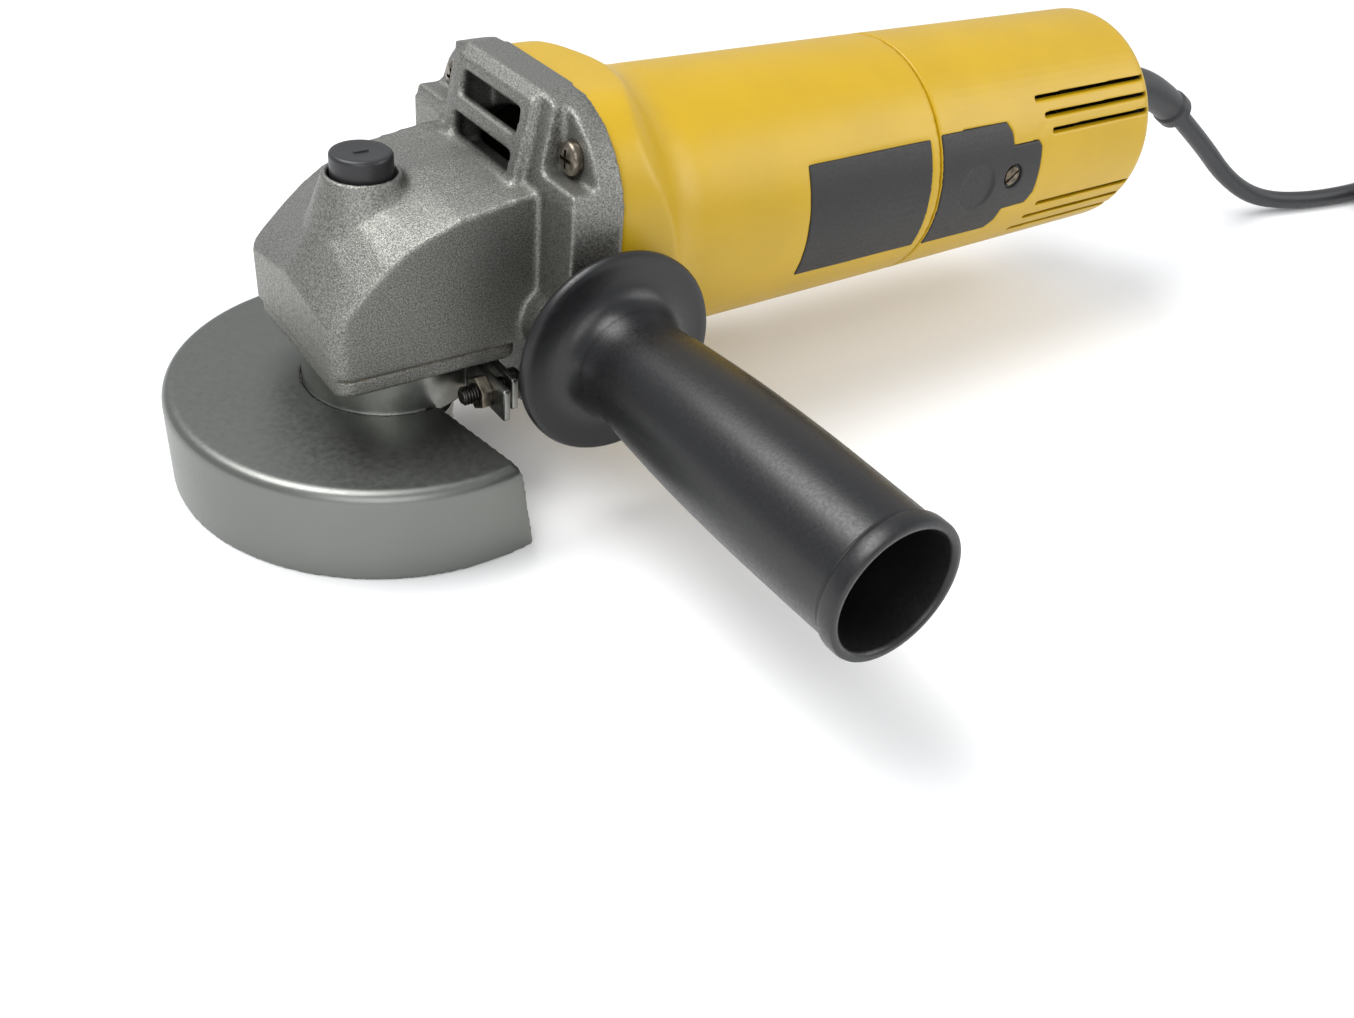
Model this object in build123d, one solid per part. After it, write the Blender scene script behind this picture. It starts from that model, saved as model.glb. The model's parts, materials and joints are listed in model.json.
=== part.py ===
from build123d import *
from math import cos, pi, radians, sin, tan
import os

# An angle grinder for 100 mm wheels. Millimetres. The origin is the centre of the spindle's lower end,
# +Z runs up the spindle, +X runs along the motor to the cord, and the side handle points to -Y.

# ---- driving dimensions ----
FLOOR = -1.0              # lower edge of the wheel guard, on which the tool stands
WHEEL_FACE = 13.0         # wheel seat of the inner flange
GUARD_TOP = 24.0
GUARD_R = 57.0
GUARD_SHEET = 1.5
GUARD_EDGE_ANGLE = -81.0  # where the half-round guard ends, on the handle side
COLLAR_R = 20.5           # neck of the bearing cover that carries the guard
BAND_SHEET = 1.6
COVER_BOTTOM = 35.6
CASE_BOTTOM = 40.0
GASKET = 0.4
AXIS_Z = 58.6             # height of the motor's axis
HEAD_HALF_WIDTH = 26.5
HEAD_NOSE_X = -25.0
NOSE_CORNER_R = 4.5
FLANGE_X = 29.5           # front face of the gear case's rear flange
PLATE_FRONT_X = 37.0      # seat of the case screws, in pockets of the flange
PLATE_REAR_X = 44.0       # joint between the gear case and the motor housing
PLATE_HALF = 42.2
PLATE_CORNER_R = 26.0
HOUSING_HALF = 40.0
HOUSING_CORNER_R = 24.0
CASE_SCREW_OFFSET = 29.5
CASE_SCREW_END = 53.5
PARTING_X = 158.5         # joint between the motor housing and the rear cover
REAR_X = 256.0
BODY_R_FRONT = 36.3       # outer radius at BODY_ROUND_X
BODY_R_PARTING = 35.5
BODY_R_REAR = 34.2
BODY_ROUND_X = 76.0
HANDLE_X = 38.5
HANDLE_Z = 45.6
HANDLE_FACE = -48.4
HANDLE_BOSS_R = 9.5
HANDLE_LENGTH = 105.5
HANDLE_FLANGE_R = 26.8
STUD_R = 4.0              # M8
STUD_REACH = 14.4
BRUSH_X = 176.0
FAN_X = 50.5
CORE_X0 = 98.0
CORE_X1 = 142.0
CORD_R = 3.5
CORD_EXIT = (315.0, 0.0, 50.5)
COIL_CENTRE = (476.0, -63.7)
COIL_OUTER_R = 55.5
COIL_INNER_R = 23.0
COIL_HEIGHT = 14.0         # two layers of cord


# ---- shapes used everywhere ----
def cyl(axis, radius, low, high, centre=(0, 0)):
    """Cylinder along one axis. The centre gives the two other coordinates, in X, Y, Z order."""
    solid = Cylinder(radius, high - low, align=(Align.CENTER, Align.CENTER, Align.MIN))
    if axis == "X":
        return Pos(low, centre[0], centre[1]) * Rot(0, 90, 0) * solid
    if axis == "Y":
        return Pos(centre[0], low, centre[1]) * Rot(-90, 0, 0) * solid
    return Pos(centre[0], centre[1], low) * solid


def ring(axis, outer, inner, low, high, centre=(0, 0)):
    return cyl(axis, outer, low, high, centre) - cyl(axis, inner, low - 1, high + 1, centre)


def block(x, y, z):
    """Box from three (low, high) pairs."""
    size = [high - low for low, high in (x, y, z)]
    middle = [(high + low) / 2 for low, high in (x, y, z)]
    return Pos(*middle) * Box(*size)


def prism_y(outline, low, high):
    """A closed outline of (x, z) points, extruded along Y."""
    face = Plane.XZ.offset(-high) * make_face(Polyline(*outline, close=True))
    return extrude(face, amount=high - low)


def prism_z(outline, low, high):
    """A closed outline of (x, y) points, extruded along Z."""
    return extrude(Pos(0, 0, low) * make_face(Polyline(*outline, close=True)), amount=high - low)


def turned_z(outline, centre=(0, 0)):
    """A closed outline of (radius, z) points, turned about a vertical axis."""
    return Pos(centre[0], centre[1], 0) * revolve(Plane.XZ * make_face(Polyline(*outline, close=True)), Axis.Z)


def turned_x(outline, centre=(0, AXIS_Z)):
    """A closed outline of (radius, x) points, turned about an axis along X."""
    solid = revolve(Plane.XZ * make_face(Polyline(*outline, close=True)), Axis.Z)
    return Pos(0, centre[0], centre[1]) * Rot(0, 90, 0) * solid


def on_motor(axis_name, radius, low, high):
    return cyl(axis_name, radius, low, high, (0, AXIS_Z))


def motor_ring(outer, inner, low, high):
    return ring("X", outer, inner, low, high, (0, AXIS_Z))


def about_motor(angle, solid):
    """Turn a solid about the motor's axis."""
    return Pos(0, 0, AXIS_Z) * Rot(angle, 0, 0) * Pos(0, 0, -AXIS_Z) * solid


def frustum_x(radius_low, radius_high, low, high):
    solid = Cone(radius_low, radius_high, high - low, align=(Align.CENTER, Align.CENTER, Align.MIN))
    return Pos(low, 0, AXIS_Z) * Rot(0, 90, 0) * solid


def body_radius(x):
    """Outer radius of the round body behind BODY_ROUND_X."""
    if x < PARTING_X:
        t = (x - BODY_ROUND_X) / (PARTING_X - BODY_ROUND_X)
        return BODY_R_FRONT + (BODY_R_PARTING - BODY_R_FRONT) * t
    t = (x - PARTING_X) / (REAR_X - PARTING_X)
    return BODY_R_PARTING + (BODY_R_REAR - BODY_R_PARTING) * t


def body_skin(low, high, depth, proud=0.0):
    """Layer of the round body from proud above its surface to depth below it."""
    outer = frustum_x(body_radius(low) + proud, body_radius(high) + proud, low, high)
    return outer - frustum_x(body_radius(low) - depth, body_radius(high) - depth, low, high)


def square_section(x, half, corner):
    """Rounded square around the motor's axis at x."""
    return Pos(x, 0, AXIS_Z) * Rot(0, 90, 0) * RectangleRounded(2 * half, 2 * half, corner)


def four(solid_at, offset=CASE_SCREW_OFFSET):
    """One solid for each corner of a square around the motor's axis."""
    return [solid_at(sy * offset, AXIS_Z + sz * offset) for sy in (-1, 1) for sz in (-1, 1)]


def screw(axis, radius, head_radius, low, high, head, centre, head_at_high=True):
    """Plain machine screw with a straight slot in its head."""
    shank = cyl(axis, radius, low, high, centre)
    if head_at_high:
        span = (high, high + head)
        slot_span = (high + head * 0.5, high + head + 1)
    else:
        span = (low - head, low)
        slot_span = (low - head - 1, low - head * 0.5)
    body = shank + cyl(axis, head_radius, span[0], span[1], centre)
    wide = (-head_radius, head_radius)
    thin = (-0.6, 0.6)
    if axis == "X":
        cut = Pos(0, centre[0], centre[1]) * block(slot_span, wide, thin)
    elif axis == "Y":
        cut = Pos(centre[0], 0, centre[1]) * block(wide, slot_span, thin)
    else:
        cut = Pos(centre[0], centre[1], 0) * block(wide, thin, slot_span)
    return body - cut


# ---- gear head ----
COVER_HALF_X = 24.5
COVER_MID_X = 0.5
COVER_HALF_Y = 26.0
COVER_SCREWS = [(COVER_MID_X + sx * 19.0, sy * 20.5) for sx in (-1, 1) for sy in (-1, 1)]
FAN_DUCT_R = 30.0
FRONT_BEARING = (13.0, 5.0, 26.0, 34.0)   # outer radius, bore radius, x low, x high
BUTTON_R = 7.9
BUTTON_MOUND = (67.0, 14.5, 80.6, 9.3)     # low height and radius, high height and radius
BUTTON_XY = (-4.0, 0.0)
PIN_XY = (-9.0, 0.0)                      # the lock pin stands beside the spindle, under the button's edge
PIN_R = 2.0
SPRING_R = 2.95
CHAMBER_R = 20.6
CHAMBER_SHOULDER = (53.6, 15.0)            # height where the chamber's wall turns inwards, and its roof's radius
CHAMBER_TOP = 55.4
TUNNEL_R = 8.0
CAP_BOTTOM = 79.0
CAP_TOP = 85.2
WELL_FLOOR = 74.6
SPRING_FLOOR = 70.0
BUSH_SPAN = (59.0, 68.0)
TOP_BUSH_R = 6.6


# Along the head: x, height of its sides and height of its middle ridge.
HEAD_SECTIONS = [(HEAD_NOSE_X - 1, 52.5, 56.0), (-17, 61.0, 69.5), (-10, 67.2, 76), (-3.5, 71.5, 78.0),
                 (9, 76.2, 78.4), (24, 78.6, 79.4), (FLANGE_X + 2, 79.2, 80)]
POCKET_Y = 25.0
POCKET_Z = 25.0
TOWER_HALF = 19.0
TOWER_OUTLINE = [(23.4, 70), (25.4, 77), (31.2, 98.6), (34.5, 100.8), (PLATE_FRONT_X, 100.8), (PLATE_FRONT_X, 70)]


def head_section(x, side, ridge):
    """Cross-section of the gear head: upright sides under a shallow roof."""
    half = HEAD_HALF_WIDTH
    points = [(x, -half, CASE_BOTTOM), (x, -half, side), (x, 0, ridge), (x, half, side), (x, half, CASE_BOTTOM)]
    return make_face(Polyline(*points, close=True))


def head_solid():
    """Gear head that falls from the flange to a steep nose with round corners."""
    roof = loft([head_section(*station) for station in HEAD_SECTIONS], ruled=True)
    plan = block((HEAD_NOSE_X, FLANGE_X + 5), (-HEAD_HALF_WIDTH, HEAD_HALF_WIDTH), (CASE_BOTTOM, 90))
    plan = fillet(plan.edges().filter_by(Axis.Z).group_by(Axis.X)[0], NOSE_CORNER_R)
    return roof & plan


def rear_flange():
    """Thick flange towards the motor. Its upper face leans back, and its corners have screw pockets."""
    flange = extrude(square_section(FLANGE_X, PLATE_HALF, PLATE_CORNER_R), amount=PLATE_REAR_X - FLANGE_X)
    flange = flange - prism_y([(FLANGE_X - 1, 80), (FLANGE_X, 80), (FLANGE_X + 4.5, 101.5), (FLANGE_X - 1, 101.5)],
                              -60, 60)
    for sy in (-1, 1):
        for sz in (-1, 1):
            span_y = (POCKET_Y, 60) if sy > 0 else (-60, -POCKET_Y)
            span_z = (AXIS_Z + POCKET_Z, 120) if sz > 0 else (0, AXIS_Z - POCKET_Z)
            flange = flange - block((FLANGE_X - 5, PLATE_FRONT_X), span_y, span_z)
    return flange


def gear_case_outside():
    tower = prism_y(TOWER_OUTLINE, -TOWER_HALF, TOWER_HALF)
    low, wide, high, narrow = BUTTON_MOUND
    cap_boss = turned_z([(0, low), (wide, low), (narrow, high), (0, high)], BUTTON_XY)
    handle_boss = cyl("Y", HANDLE_BOSS_R, HANDLE_FACE, -HANDLE_FACE, (PLATE_REAR_X - HANDLE_BOSS_R, HANDLE_Z))
    handle_boss = handle_boss + cyl("Y", HANDLE_BOSS_R - 4, HANDLE_FACE, -HANDLE_FACE, (HANDLE_X, HANDLE_Z))
    return head_solid() + tower + rear_flange() + cap_boss + handle_boss


def gear_case():
    """Cast gear housing: gear chamber, bulkhead with the front bearing, and air duct to the vents."""
    shoulder_z, roof_r = CHAMBER_SHOULDER
    chamber = turned_z([(0, CASE_BOTTOM - 1), (CHAMBER_R, CASE_BOTTOM - 1), (CHAMBER_R, shoulder_z),
                        (roof_r, CHAMBER_TOP), (0, CHAMBER_TOP)])
    tunnel = on_motor("X", TUNNEL_R, TOP_BUSH_R + 0.3, 40)
    duct = on_motor("X", FAN_DUCT_R, 36.5, PLATE_REAR_X + 1)
    seat = on_motor("X", FRONT_BEARING[0], FRONT_BEARING[2], 40)
    air = prism_y([(29.3, 81), (33.5, 96.5), (40, 96.5), (40, 76), (30, 76)], -15.5, 15.5)
    slots = [block((20, 34), (-14.7, 14.7), (z, z + 6)) for z in (79.6, 89.4)]
    bush_hole = cyl("Z", TOP_BUSH_R, 50, BUSH_SPAN[1] + 0.5)
    pin_hole = cyl("Z", PIN_R + 0.05, 50, 90, PIN_XY)
    spring_well = cyl("Z", SPRING_R + 0.3, SPRING_FLOOR, 90, PIN_XY)
    button_well = cyl("Z", BUTTON_R + 0.4, WELL_FLOOR, 90, BUTTON_XY)
    screw_holes = four(lambda y, z: cyl("X", 2.6, 30, 60, (y, z)))
    cover_holes = [cyl("Z", 2.0, 30, 53, c) for c in COVER_SCREWS]
    handle_holes = [cyl("Y", STUD_R, HANDLE_FACE - 1, -33, (HANDLE_X, HANDLE_Z)),
                    cyl("Y", STUD_R, 33, -HANDLE_FACE + 1, (HANDLE_X, HANDLE_Z))]
    case = gear_case_outside() - chamber - tunnel - duct - seat - air - bush_hole
    case = case - pin_hole - spring_well - button_well
    for part in slots + screw_holes + cover_holes + handle_holes:
        case = case - part
    return case


def cover_outline(half_x, half_y, corner, low, high):
    face = Pos(COVER_MID_X, 0, low) * RectangleRounded(2 * half_x, 2 * half_y, corner)
    return extrude(face, amount=high - low)


def bearing_cover():
    """Bottom cover with the neck that holds the spindle bearing and the guard."""
    top = CASE_BOTTOM - GASKET
    plate = cover_outline(COVER_HALF_X, COVER_HALF_Y, NOSE_CORNER_R, COVER_BOTTOM, top)
    neck = cyl("Z", COLLAR_R, GUARD_TOP - 1.5, COVER_BOTTOM + 1)
    cover = plate + neck + cyl("Z", CHAMBER_R - 0.2, COVER_BOTTOM, top + 2)
    cover = cover - cyl("Z", 16, 26.0, top + 3) - cyl("Z", 13.2, 0, 60)
    for centre in COVER_SCREWS:
        cover = cover - cyl("Z", 2.2, 30, 50, centre) - cyl("Z", 4.1, 30, COVER_BOTTOM + 1.2, centre)
    return cover


def cover_gasket():
    gasket = cover_outline(COVER_HALF_X, COVER_HALF_Y, NOSE_CORNER_R, CASE_BOTTOM - GASKET, CASE_BOTTOM)
    gasket = gasket - cyl("Z", CHAMBER_R, 30, 50)
    for centre in COVER_SCREWS:
        gasket = gasket - cyl("Z", 2.2, 30, 50, centre)
    return gasket


def cover_screws():
    heads = COVER_BOTTOM + 1.2
    return [screw("Z", 1.98, 3.9, heads, 51, 2.2, c, head_at_high=False) for c in COVER_SCREWS]


def case_screws():
    return four(lambda y, z: screw("X", 2.2, 4.2, PLATE_FRONT_X, CASE_SCREW_END, 2.8, (y, z), head_at_high=False))


# ---- spindle ----
PINION_TEETH = 12
CROWN_TEETH = 36
HEEL_R = 19.0
TOE_SCALE = 0.69
MODULE = 2 * HEEL_R / CROWN_TEETH
PINION_PITCH_R = MODULE * PINION_TEETH / 2
TOOTH_TOP = 0.62 * MODULE
TOOTH_ROOT = 0.95 * MODULE
TOOTH_HALF = 0.36 * pi * MODULE / 2
FLANK = tan(radians(22))
LOCK_HOLES = 6
SPINDLE_R = 5.0                           # M10 thread
SPINDLE_END_LENGTH = 2.6                  # free end below the nut
THREAD_CORE_R = 4.7                       # under the nut


def spindle():
    """Hardened spindle: thread below, bearing seat, gear seat, top journal."""
    top = BUSH_SPAN[1]
    return turned_z([(0, 0), (SPINDLE_R, 0), (SPINDLE_R, SPINDLE_END_LENGTH), (THREAD_CORE_R, SPINDLE_END_LENGTH),
                     (THREAD_CORE_R, 11.5), (6, 11.5), (6, 37.6), (5.5, 37.6), (5.5, 50.5), (4, 50.5),
                     (4, top), (0, top)])


def crown_tooth():
    """One crown tooth, tapering towards the point where the two gear axes meet."""
    pitch_z = AXIS_Z - PINION_PITCH_R
    low = pitch_z - TOOTH_ROOT - 0.4
    high = pitch_z + TOOTH_TOP
    wide = TOOTH_HALF + FLANK * (pitch_z - low)
    thin = TOOTH_HALF - FLANK * (high - pitch_z)
    heel = [(HEEL_R, -wide, low), (HEEL_R, wide, low), (HEEL_R, thin, high), (HEEL_R, -thin, high)]
    toe = [(x * TOE_SCALE, y * TOE_SCALE, AXIS_Z + (z - AXIS_Z) * TOE_SCALE) for x, y, z in heel]
    return loft([make_face(Polyline(*p, close=True)) for p in (heel, toe)], ruled=True)


def crown_gear():
    """Large bevel gear. Its holes, half a tooth off the line of the teeth, take the lock pin."""
    root = PINION_PITCH_R + TOOTH_ROOT
    outline = [(5.5, 37.6), (12.2, 37.6), (12.2, 44.0), (HEEL_R, 46.2), (HEEL_R, AXIS_Z - root),
               (HEEL_R * TOE_SCALE, AXIS_Z - root * TOE_SCALE), (HEEL_R * TOE_SCALE - 0.6, 50.4), (5.5, 50.4)]
    gear = turned_z(outline)
    tooth = crown_tooth()
    teeth = [Rot(0, 0, 360 * (i + 0.5) / CROWN_TEETH) * tooth for i in range(CROWN_TEETH)]
    gear = gear.fuse(*teeth)
    for i in range(LOCK_HOLES):
        hole = cyl("Z", PIN_R + 0.3, 45.5, 60, PIN_XY)
        gear = gear - Rot(0, 0, 360 * i / LOCK_HOLES) * hole
    return gear


def pinion_section(x):
    """Outline of the pinion at x, every size in proportion to x."""
    k = x / HEEL_R
    root = (PINION_PITCH_R - TOOTH_ROOT) * k
    top = (PINION_PITCH_R + TOOTH_TOP) * k
    foot = TOOTH_HALF * k + FLANK * TOOTH_ROOT * k * 0.6
    tip = TOOTH_HALF * k - FLANK * TOOTH_TOP * k * 1.15
    points = []
    for i in range(PINION_TEETH):
        middle = 2 * pi * i / PINION_TEETH
        for radius, side in ((root, -foot), (top, -tip), (top, tip), (root, foot)):
            a = middle + side / radius
            points.append((x, radius * cos(a), AXIS_Z + radius * sin(a)))
    return make_face(Polyline(*points, close=True))


def pinion():
    teeth = loft([pinion_section(HEEL_R), pinion_section(HEEL_R * TOE_SCALE)], ruled=True)
    hub = on_motor("X", 4.9, HEEL_R - 0.5, 24.0)
    return teeth + hub - on_motor("X", 3, 0, 40)


def hex_x(across, low, high, bore):
    face = Pos(low, 0, AXIS_Z) * Rot(0, 90, 0) * RegularPolygon(across / 2, 6, major_radius=False)
    return extrude(face, amount=high - low) - on_motor("X", bore, low - 1, high + 1)


def ball_bearing(axis, outer, bore, low, high, count, centre):
    """Outer race, inner race and the row of balls of a deep-groove bearing."""
    thick = 0.225 * (outer - bore)
    mid = (outer + bore) / 2
    ball_r = 0.29 * (outer - bore)
    mid_z = (low + high) / 2
    track = Torus(mid, ball_r + 0.06)
    if axis == "X":
        place = Pos(mid_z, centre[0], centre[1]) * Rot(0, 90, 0)
    else:
        place = Pos(centre[0], centre[1], mid_z)
    half = (high - low) / 2
    race_out = cyl("Z", outer, -half, half) - cyl("Z", outer - thick, -half - 1, half + 1) - track
    race_in = cyl("Z", bore + thick, -half, half) - cyl("Z", bore, -half - 1, half + 1) - track
    balls = [Rot(0, 0, 360 * i / count) * Pos(mid, 0, 0) * Sphere(ball_r) for i in range(count)]
    return place * race_out, place * race_in, [place * b for b in balls]


def inner_flange():
    """Backing flange with the pilot that centres the wheel."""
    return turned_z([(6, 11.5), (8, 11.5), (8, WHEEL_FACE), (17, WHEEL_FACE), (17, 16), (12.4, 19), (12.4, 24),
                     (8.2, 24), (8.2, 26), (6, 26)])


NUT_LOW = 2.9
NUT_TOP = 11.5


def lock_nut():
    """Round clamping nut with four holes for its pin spanner."""
    bore = SPINDLE_R + 0.05
    outline = [(bore, NUT_LOW), (11.5, NUT_LOW), (11.5, 5), (17, 5.6), (17, 8.5), (15.5, NUT_TOP), (bore, NUT_TOP)]
    nut = turned_z(outline)
    for i in range(4):
        nut = nut - Rot(0, 0, 90 * i + 45) * cyl("Z", 2.2, 0, 8.2, (13.5, 0))
    return nut


# ---- guard ----
BAND_LOW = GUARD_TOP - 1.5
BAND_HIGH = 34.0
EAR_X = (14.5, 21.0)
EAR_Y = (-37.0, -16.0)


def guard_shell():
    """Half-round pressed guard with a rolled outer edge and a raised seat for its band."""
    low = FLOOR
    top = GUARD_TOP
    shell = cyl("Z", GUARD_R, low, top)
    shell = fillet(shell.edges().filter_by(GeomType.CIRCLE).group_by(Axis.Z)[-1], 3)
    inner = cyl("Z", GUARD_R - GUARD_SHEET, low - 1, top - GUARD_SHEET)
    inner = fillet(inner.edges().filter_by(GeomType.CIRCLE).group_by(Axis.Z)[-1], 1.6)
    shell = shell - inner - cyl("Z", COLLAR_R + BAND_SHEET + 0.3, low - 1, top + 1)
    far = 80
    a = radians(GUARD_EDGE_ANGLE)
    direction = Vector(cos(a), sin(a), 0)
    # The cut leans, so that the lower edge of the wall reaches further round than the top.
    side = Vector(-sin(a), cos(a), 0)
    lean = 5.0
    lower = [Vector(0, 0, low - 2) + direction * far - side * -lean, Vector(0, 0, low - 2) - direction * far
             + side * lean, Vector(0, 0, low - 2) - direction * far + side * far,
             Vector(0, 0, low - 2) + direction * far + side * far]
    upper = [Vector(0, 0, top + 2) + direction * far, Vector(0, 0, top + 2) - direction * far,
             Vector(0, 0, top + 2) - direction * far + side * far,
             Vector(0, 0, top + 2) + direction * far + side * far]
    cutter = loft([make_face(Polyline(*p, close=True)) for p in (lower, upper)], ruled=True)
    return shell - cutter


def guard_band():
    """Clamp band around the neck, welded to the guard, with two ears for its screw."""
    outer = COLLAR_R + BAND_SHEET
    band = ring("Z", outer, COLLAR_R + 0.05, BAND_LOW, BAND_HIGH)
    gap = block((EAR_X[0] + 2, EAR_X[1] - 2), (-40, 0), (BAND_LOW - 1, BAND_HIGH + 1))
    band = band - gap
    front = block((EAR_X[0], EAR_X[0] + 2), (-37, -14.6), (BAND_LOW + 2, BAND_HIGH - 0.5))
    rear = block((EAR_X[1] - 2, EAR_X[1]), (-33, -8), (BAND_LOW + 2, BAND_HIGH - 0.5))
    ears = (front + rear) - cyl("Z", COLLAR_R + 0.05, 0, 60)
    seat = ring("Z", COLLAR_R + BAND_SHEET + 0.3, COLLAR_R + 0.05, BAND_LOW, GUARD_TOP)
    seat = seat - block((0, 60), (-60, 60), (0, 60))
    hole = cyl("X", 2.55, 0, 40, (CLAMP_Y, CLAMP_Z))
    return band + ears + seat - hole


CLAMP_Y = -27.5
CLAMP_Z = 28.8


def clamp_screw():
    """Screw that pulls the band's ears together. Its threaded end points to the nose."""
    shank = cyl("X", 2.5, 7.5, EAR_X[1], (CLAMP_Y, CLAMP_Z))
    head = cyl("X", 4.2, EAR_X[1], EAR_X[1] + 3, (CLAMP_Y, CLAMP_Z))
    slot = block((EAR_X[1] + 1.6, EAR_X[1] + 4), (CLAMP_Y - 5, CLAMP_Y + 5), (CLAMP_Z - 0.6, CLAMP_Z + 0.6))
    return shank + head - slot


def clamp_nut():
    face = Pos(EAR_X[0] - 3.2, CLAMP_Y, CLAMP_Z) * Rot(0, 90, 0) * RegularPolygon(4, 6, major_radius=False)
    return extrude(face, amount=3.2) - cyl("X", 2.5, 0, 40, (CLAMP_Y, CLAMP_Z))


# ---- spindle lock ----
def lock_cap():
    """Push button over the lock pin, with a rounded rim and a small mark."""
    cap = cyl("Z", BUTTON_R, CAP_BOTTOM, CAP_TOP, BUTTON_XY)
    cap = fillet(cap.edges().group_by(Axis.Z)[-1], 1.0)
    mark = Pos(*BUTTON_XY, 0) * block((-2, 2), (-0.5, 0.5), (CAP_TOP - 0.8, CAP_TOP + 1))
    return cap - mark


def lock_pin():
    """Pin that drops into a hole of the crown gear."""
    return cyl("Z", PIN_R, 51.0, CAP_BOTTOM, PIN_XY)


def lock_spring():
    return ring("Z", SPRING_R, PIN_R + 0.15, SPRING_FLOOR, CAP_BOTTOM, PIN_XY)


def top_bush():
    """Bronze bush for the spindle's upper journal."""
    return ring("Z", TOP_BUSH_R, 4.04, BUSH_SPAN[0], BUSH_SPAN[1])


# ---- motor housing ----
NECK_R = 31.0
NECK_WALL = 2.6
NECK_END = 196.0
REAR_BEARING = (11.0, 4.0, 186.0, 193.0)
BUSH_R = 13.0


def housing_outside():
    """Turned body whose front is trimmed to the gear case's rounded square."""
    shoulder = Spline((54, PLATE_REAR_X), (47, 52), (43.5, 58), (40, 62), (37.8, 65.5), (36.7, 69),
                      (BODY_R_FRONT, BODY_ROUND_X))
    profile = [Line((0, PLATE_REAR_X), (54, PLATE_REAR_X)), shoulder,
               Line((BODY_R_FRONT, BODY_ROUND_X), (BODY_R_PARTING, PARTING_X)),
               Line((BODY_R_PARTING, PARTING_X), (0, PARTING_X)), Line((0, PARTING_X), (0, PLATE_REAR_X))]
    turned = revolve(Plane.XZ * make_face(Wire(profile)), Axis.Z)
    turned = Pos(0, 0, AXIS_Z) * Rot(0, 90, 0) * turned
    prism = extrude(square_section(PLATE_REAR_X, HOUSING_HALF, HOUSING_CORNER_R),
                    amount=PARTING_X - PLATE_REAR_X + 5)
    return turned & prism


def brush_windows():
    return block((BRUSH_X - 6, BRUSH_X + 6), (-40, 40), (AXIS_Z - 5.5, AXIS_Z + 5.5))


def motor_housing():
    """Outer motor shell with a stepped neck that carries the brushes and the rear bearing."""
    shell = housing_outside()
    shell = shell - on_motor("X", 31.5, PLATE_REAR_X - 1, 64.5) - on_motor("X", 29.5, 64, 150)
    shell = shell - on_motor("X", 32.5, 68, 92)
    shell = shell - on_motor("X", NECK_R - NECK_WALL, 149, 170)
    neck = motor_ring(NECK_R, NECK_R - NECK_WALL, 149.5, NECK_END)
    arms = block((182, NECK_END), (-3, 3), (AXIS_Z + 14.5, AXIS_Z + 29.5))
    hub = motor_ring(BUSH_R + 2.6, BUSH_R, 184, NECK_END)
    hub = hub + motor_ring(BUSH_R + 2.6, 9, 184, 186)
    shell = shell + neck + hub
    for i in range(4):
        shell = shell + about_motor(45 + 90 * i, arms)
    shell = shell - brush_windows()
    for hole in four(lambda y, z: cyl("X", 2.2, PLATE_REAR_X - 1, CASE_SCREW_END + 0.5, (y, z))):
        shell = shell - hole
    cut_panel = [panel_place(side, body_skin(LABEL_X[0], LABEL_X[1], 0.8, 1.0)) for side in (-1, 1)]
    for part in cut_panel:
        shell = shell - part
    shell = shell - switch_slot() - switch_channel()
    return shell - cyl("Y", 1.55, -40, 40, BRUSH_SCREW)


LABEL_X = (109.0, 154.5)
LABEL_Z = (43.2, 75.4)


def panel_place(side, skin):
    """The part of a skin layer inside the side panel's outline."""
    reach = (20, 45) if side > 0 else (-45, -20)
    return skin & block((LABEL_X[0], LABEL_X[1]), reach, LABEL_Z)


def side_panels():
    return [panel_place(side, body_skin(LABEL_X[0], LABEL_X[1], 0.8, 0.1)) for side in (-1, 1)]


# ---- switch: slide button low on the side away from the handle ----
SWITCH_ANGLE = -40.0
BUTTON_X = (90.0, 112.0)
SWITCH_TRAVEL = 6.0
ROD_R = (31.6, 33.0)


def at_switch(solid):
    """Place a solid that is modelled on the +Y side of the motor's axis."""
    return about_motor(SWITCH_ANGLE, solid)


def switch_slot():
    return at_switch(block((BUTTON_X[0] + 3, BUTTON_X[1] - 3), (ROD_R[0] - 0.5, 50), (AXIS_Z - 3.5, AXIS_Z + 3.5)))


def switch_channel():
    channel = block((88, 216), (ROD_R[0] - 0.6, ROD_R[1] + 0.5), (AXIS_Z - 4, AXIS_Z + 4))
    return at_switch(channel)


def switch_button():
    top = body_radius(BUTTON_X[0]) + 4.2
    base = body_radius(BUTTON_X[0]) + 0.4
    pad = block(BUTTON_X, (base, top), (AXIS_Z - 7, AXIS_Z + 7))
    pad = fillet(pad.edges().filter_by(Axis.Y), 3)
    for i in range(5):
        x = BUTTON_X[0] + 5 + 3 * i
        pad = pad - block((x, x + 1.2), (top - 0.9, top + 1), (AXIS_Z - 8, AXIS_Z + 8))
    stem = block((BUTTON_X[0] + 10, BUTTON_X[0] + 18), (ROD_R[1], base + 0.1), (AXIS_Z - 3, AXIS_Z + 3))
    return at_switch(pad + stem)


def switch_rod():
    rod = block((BUTTON_X[0] + 6, 207), ROD_R, (AXIS_Z - 3, AXIS_Z + 3))
    hook = block((204, 207), (20.5, ROD_R[1]), (AXIS_Z - 3, AXIS_Z + 3))
    return at_switch(rod + hook)


def switch_body():
    case = block((215, 231), (14, 30.8), (AXIS_Z - 8, AXIS_Z + 8))
    lever = block((208.5, 215), (19.5, 23), (AXIS_Z - 2, AXIS_Z + 2))
    return at_switch(case + lever)


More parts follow.
